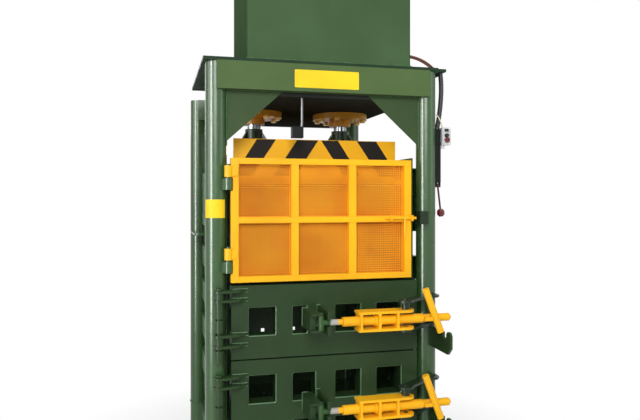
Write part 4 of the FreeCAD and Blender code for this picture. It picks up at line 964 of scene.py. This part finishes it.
class BALER_OT_button_details(bpy.types.Operator):
    """Window, rings and screws on the front of the button box"""
    bl_idname = "baler.button_details"
    bl_label = "Button details"

    def execute(self, context):
        centre, front, proud = 1202, -39.9, 0.4

        def rings(work):
            for z, inner, outer in ((1857, 5.6, 11.4), (1833, 5.6, 12.2)):
                hollow(work, [[at(centre + x, y, z + up) for x, up in circle(radius, 28)]
                              for radius, y in ((inner, front), (inner, front - proud),
                                                (outer - 0.3, front - proud), (outer, front))])
        new_piece("button_rings", rings, "black_cap", "frame")

        def window(work):
            slab(work, [at(x, front, z) for x, z in rect(centre - 12, centre + 12, 1876, 1891)], 0.0012)
        new_piece("label_window", window, "black_cap", "frame")
        spots = [at(x, -40, z) for x in (centre - 19, centre + 19) for z in (1812, 1893)]
        grow("box_screws", screw_tree(), line_mesh("box_screws_start", [spots]), "frame",
             Radius=sizes().screw, Tall=0.0014, Turn=(math.radians(90), 0, 0), Finish=material("bolt_steel"))
        return {"FINISHED"}


# the lines' routes on the grid, the same as in the part
HOSE_ROUTE = ((993, 15, 2275), (1085, 15, 2275), (1161, 15, 2203))
CONDUIT_ROUTE = ((1184, 0, 2190), (1201, 0, 2070), (1164.5, 0, 1888))
WIRE_ROUTE = ((1149.5, -24, 1966), (1174, -24, 1946), (1186, -24, 1894.5))


def smooth_route(name, places):
    """The points of the smooth line over a route, read from its own spline."""
    curve = bpy.data.curves.new(name + "_route", "CURVE")
    curve.dimensions = "3D"
    curve.resolution_u = 14
    spline = curve.splines.new("NURBS")
    spline.points.add(len(places) - 1)
    for point, place in zip(spline.points, places):
        point.co = (*at(*place), 1)
    spline.order_u = 3
    spline.use_endpoint_u = True
    holder = bpy.data.objects.new(name + "_route", curve)
    bpy.context.scene.collection.objects.link(holder)
    bpy.context.view_layer.update()
    mesh = bpy.data.meshes.new_from_object(holder.evaluated_get(bpy.context.evaluated_depsgraph_get()))
    points = [vertex.co.copy() for vertex in mesh.vertices]
    bpy.data.objects.remove(holder)
    return points


class BALER_OT_lines(bpy.types.Operator):
    """The hoses from the housing, the ribbed conduit down to the valve and the cream signal wire"""
    bl_idname = "baler.lines"
    bl_label = "Lines"

    def execute(self, context):
        tree = ribbed_tree()
        hoses = smooth_route("hoses", HOSE_ROUTE)
        back, spread, first, twist = Vector((0, 1, 0)), 0.0052, 30, 50
        strands = []
        for k in range(3):
            strand = []
            for index, point in enumerate(hoses):
                ahead = hoses[min(index + 1, len(hoses) - 1)] - hoses[max(index - 1, 0)]
                side = ahead.cross(back).normalized()
                turn = math.radians(first + 120 * k + twist * index / len(hoses))
                strand.append(point + (side * math.cos(turn) + back * math.sin(turn)) * spread)
            strands.append(strand)
        bundle = grow("hoses", tree, line_mesh("hoses_start", strands), "frame", Radius=0.0047, Pitch=0.012,
                      Depth=0.0003, Sides=14, Finish=material("hose_rubber"))
        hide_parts("hose_bundle")

        sleeve = smooth_route("conduit_tube", CONDUIT_ROUTE)
        tube = grow("conduit_tube", tree, line_mesh("conduit_start", [sleeve]), "frame", Radius=0.0132,
                    Pitch=sizes().conduit_rib, Depth=0.0016, Sides=20, Finish=material("conduit_black"))
        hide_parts("conduit")

        lead = smooth_route("wire_tube", WIRE_ROUTE)
        wire = grow("wire_tube", tree, line_mesh("wire_start", [lead]), "frame", Radius=0.0035, Pitch=0.02,
                    Depth=0.0001, Sides=12, Finish=material("wire_cream"))
        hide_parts("signal_wire")
        return {"FINISHED"}


CLASSES = [BALER_PG_colours, BALER_PG_sizes, BALER_OT_stage, BALER_OT_finishes,
           BALER_OT_feed_door_frame, BALER_OT_feed_mesh, BALER_OT_hazard_stripes, BALER_OT_plates,
           BALER_OT_pocket_rims, BALER_OT_welds, BALER_OT_button_details, BALER_OT_lines]
OPERATORS = [item for item in CLASSES if issubclass(item, bpy.types.Operator)]


class BALER_PT_panel(bpy.types.Panel):
    """Shows the baler's sizes and colours and a button for each step"""
    bl_idname = "BALER_PT_panel"
    bl_label = "Baler"
    bl_space_type = "VIEW_3D"
    bl_region_type = "UI"
    bl_category = "Baler"

    def draw(self, context):
        for group in (context.scene.baler_sizes, context.scene.baler_colours):
            for name in group.bl_rna.properties.keys():
                if name not in ("rna_type", "name"):
                    self.layout.prop(group, name)
        for operator in OPERATORS:
            self.layout.operator(operator.bl_idname)


def register():
    for item in CLASSES + [BALER_PT_panel]:
        bpy.utils.register_class(item)
    bpy.types.Scene.baler_colours = bpy.props.PointerProperty(type=BALER_PG_colours)
    bpy.types.Scene.baler_sizes = bpy.props.PointerProperty(type=BALER_PG_sizes)


def unregister():
    del bpy.types.Scene.baler_sizes
    del bpy.types.Scene.baler_colours
    for item in reversed(CLASSES + [BALER_PT_panel]):
        bpy.utils.unregister_class(item)


def main():
    register()
    for operator in OPERATORS:
        group, name = operator.bl_idname.split(".")
        getattr(getattr(bpy.ops, group), name)()


if __name__ == "__main__":
    main()
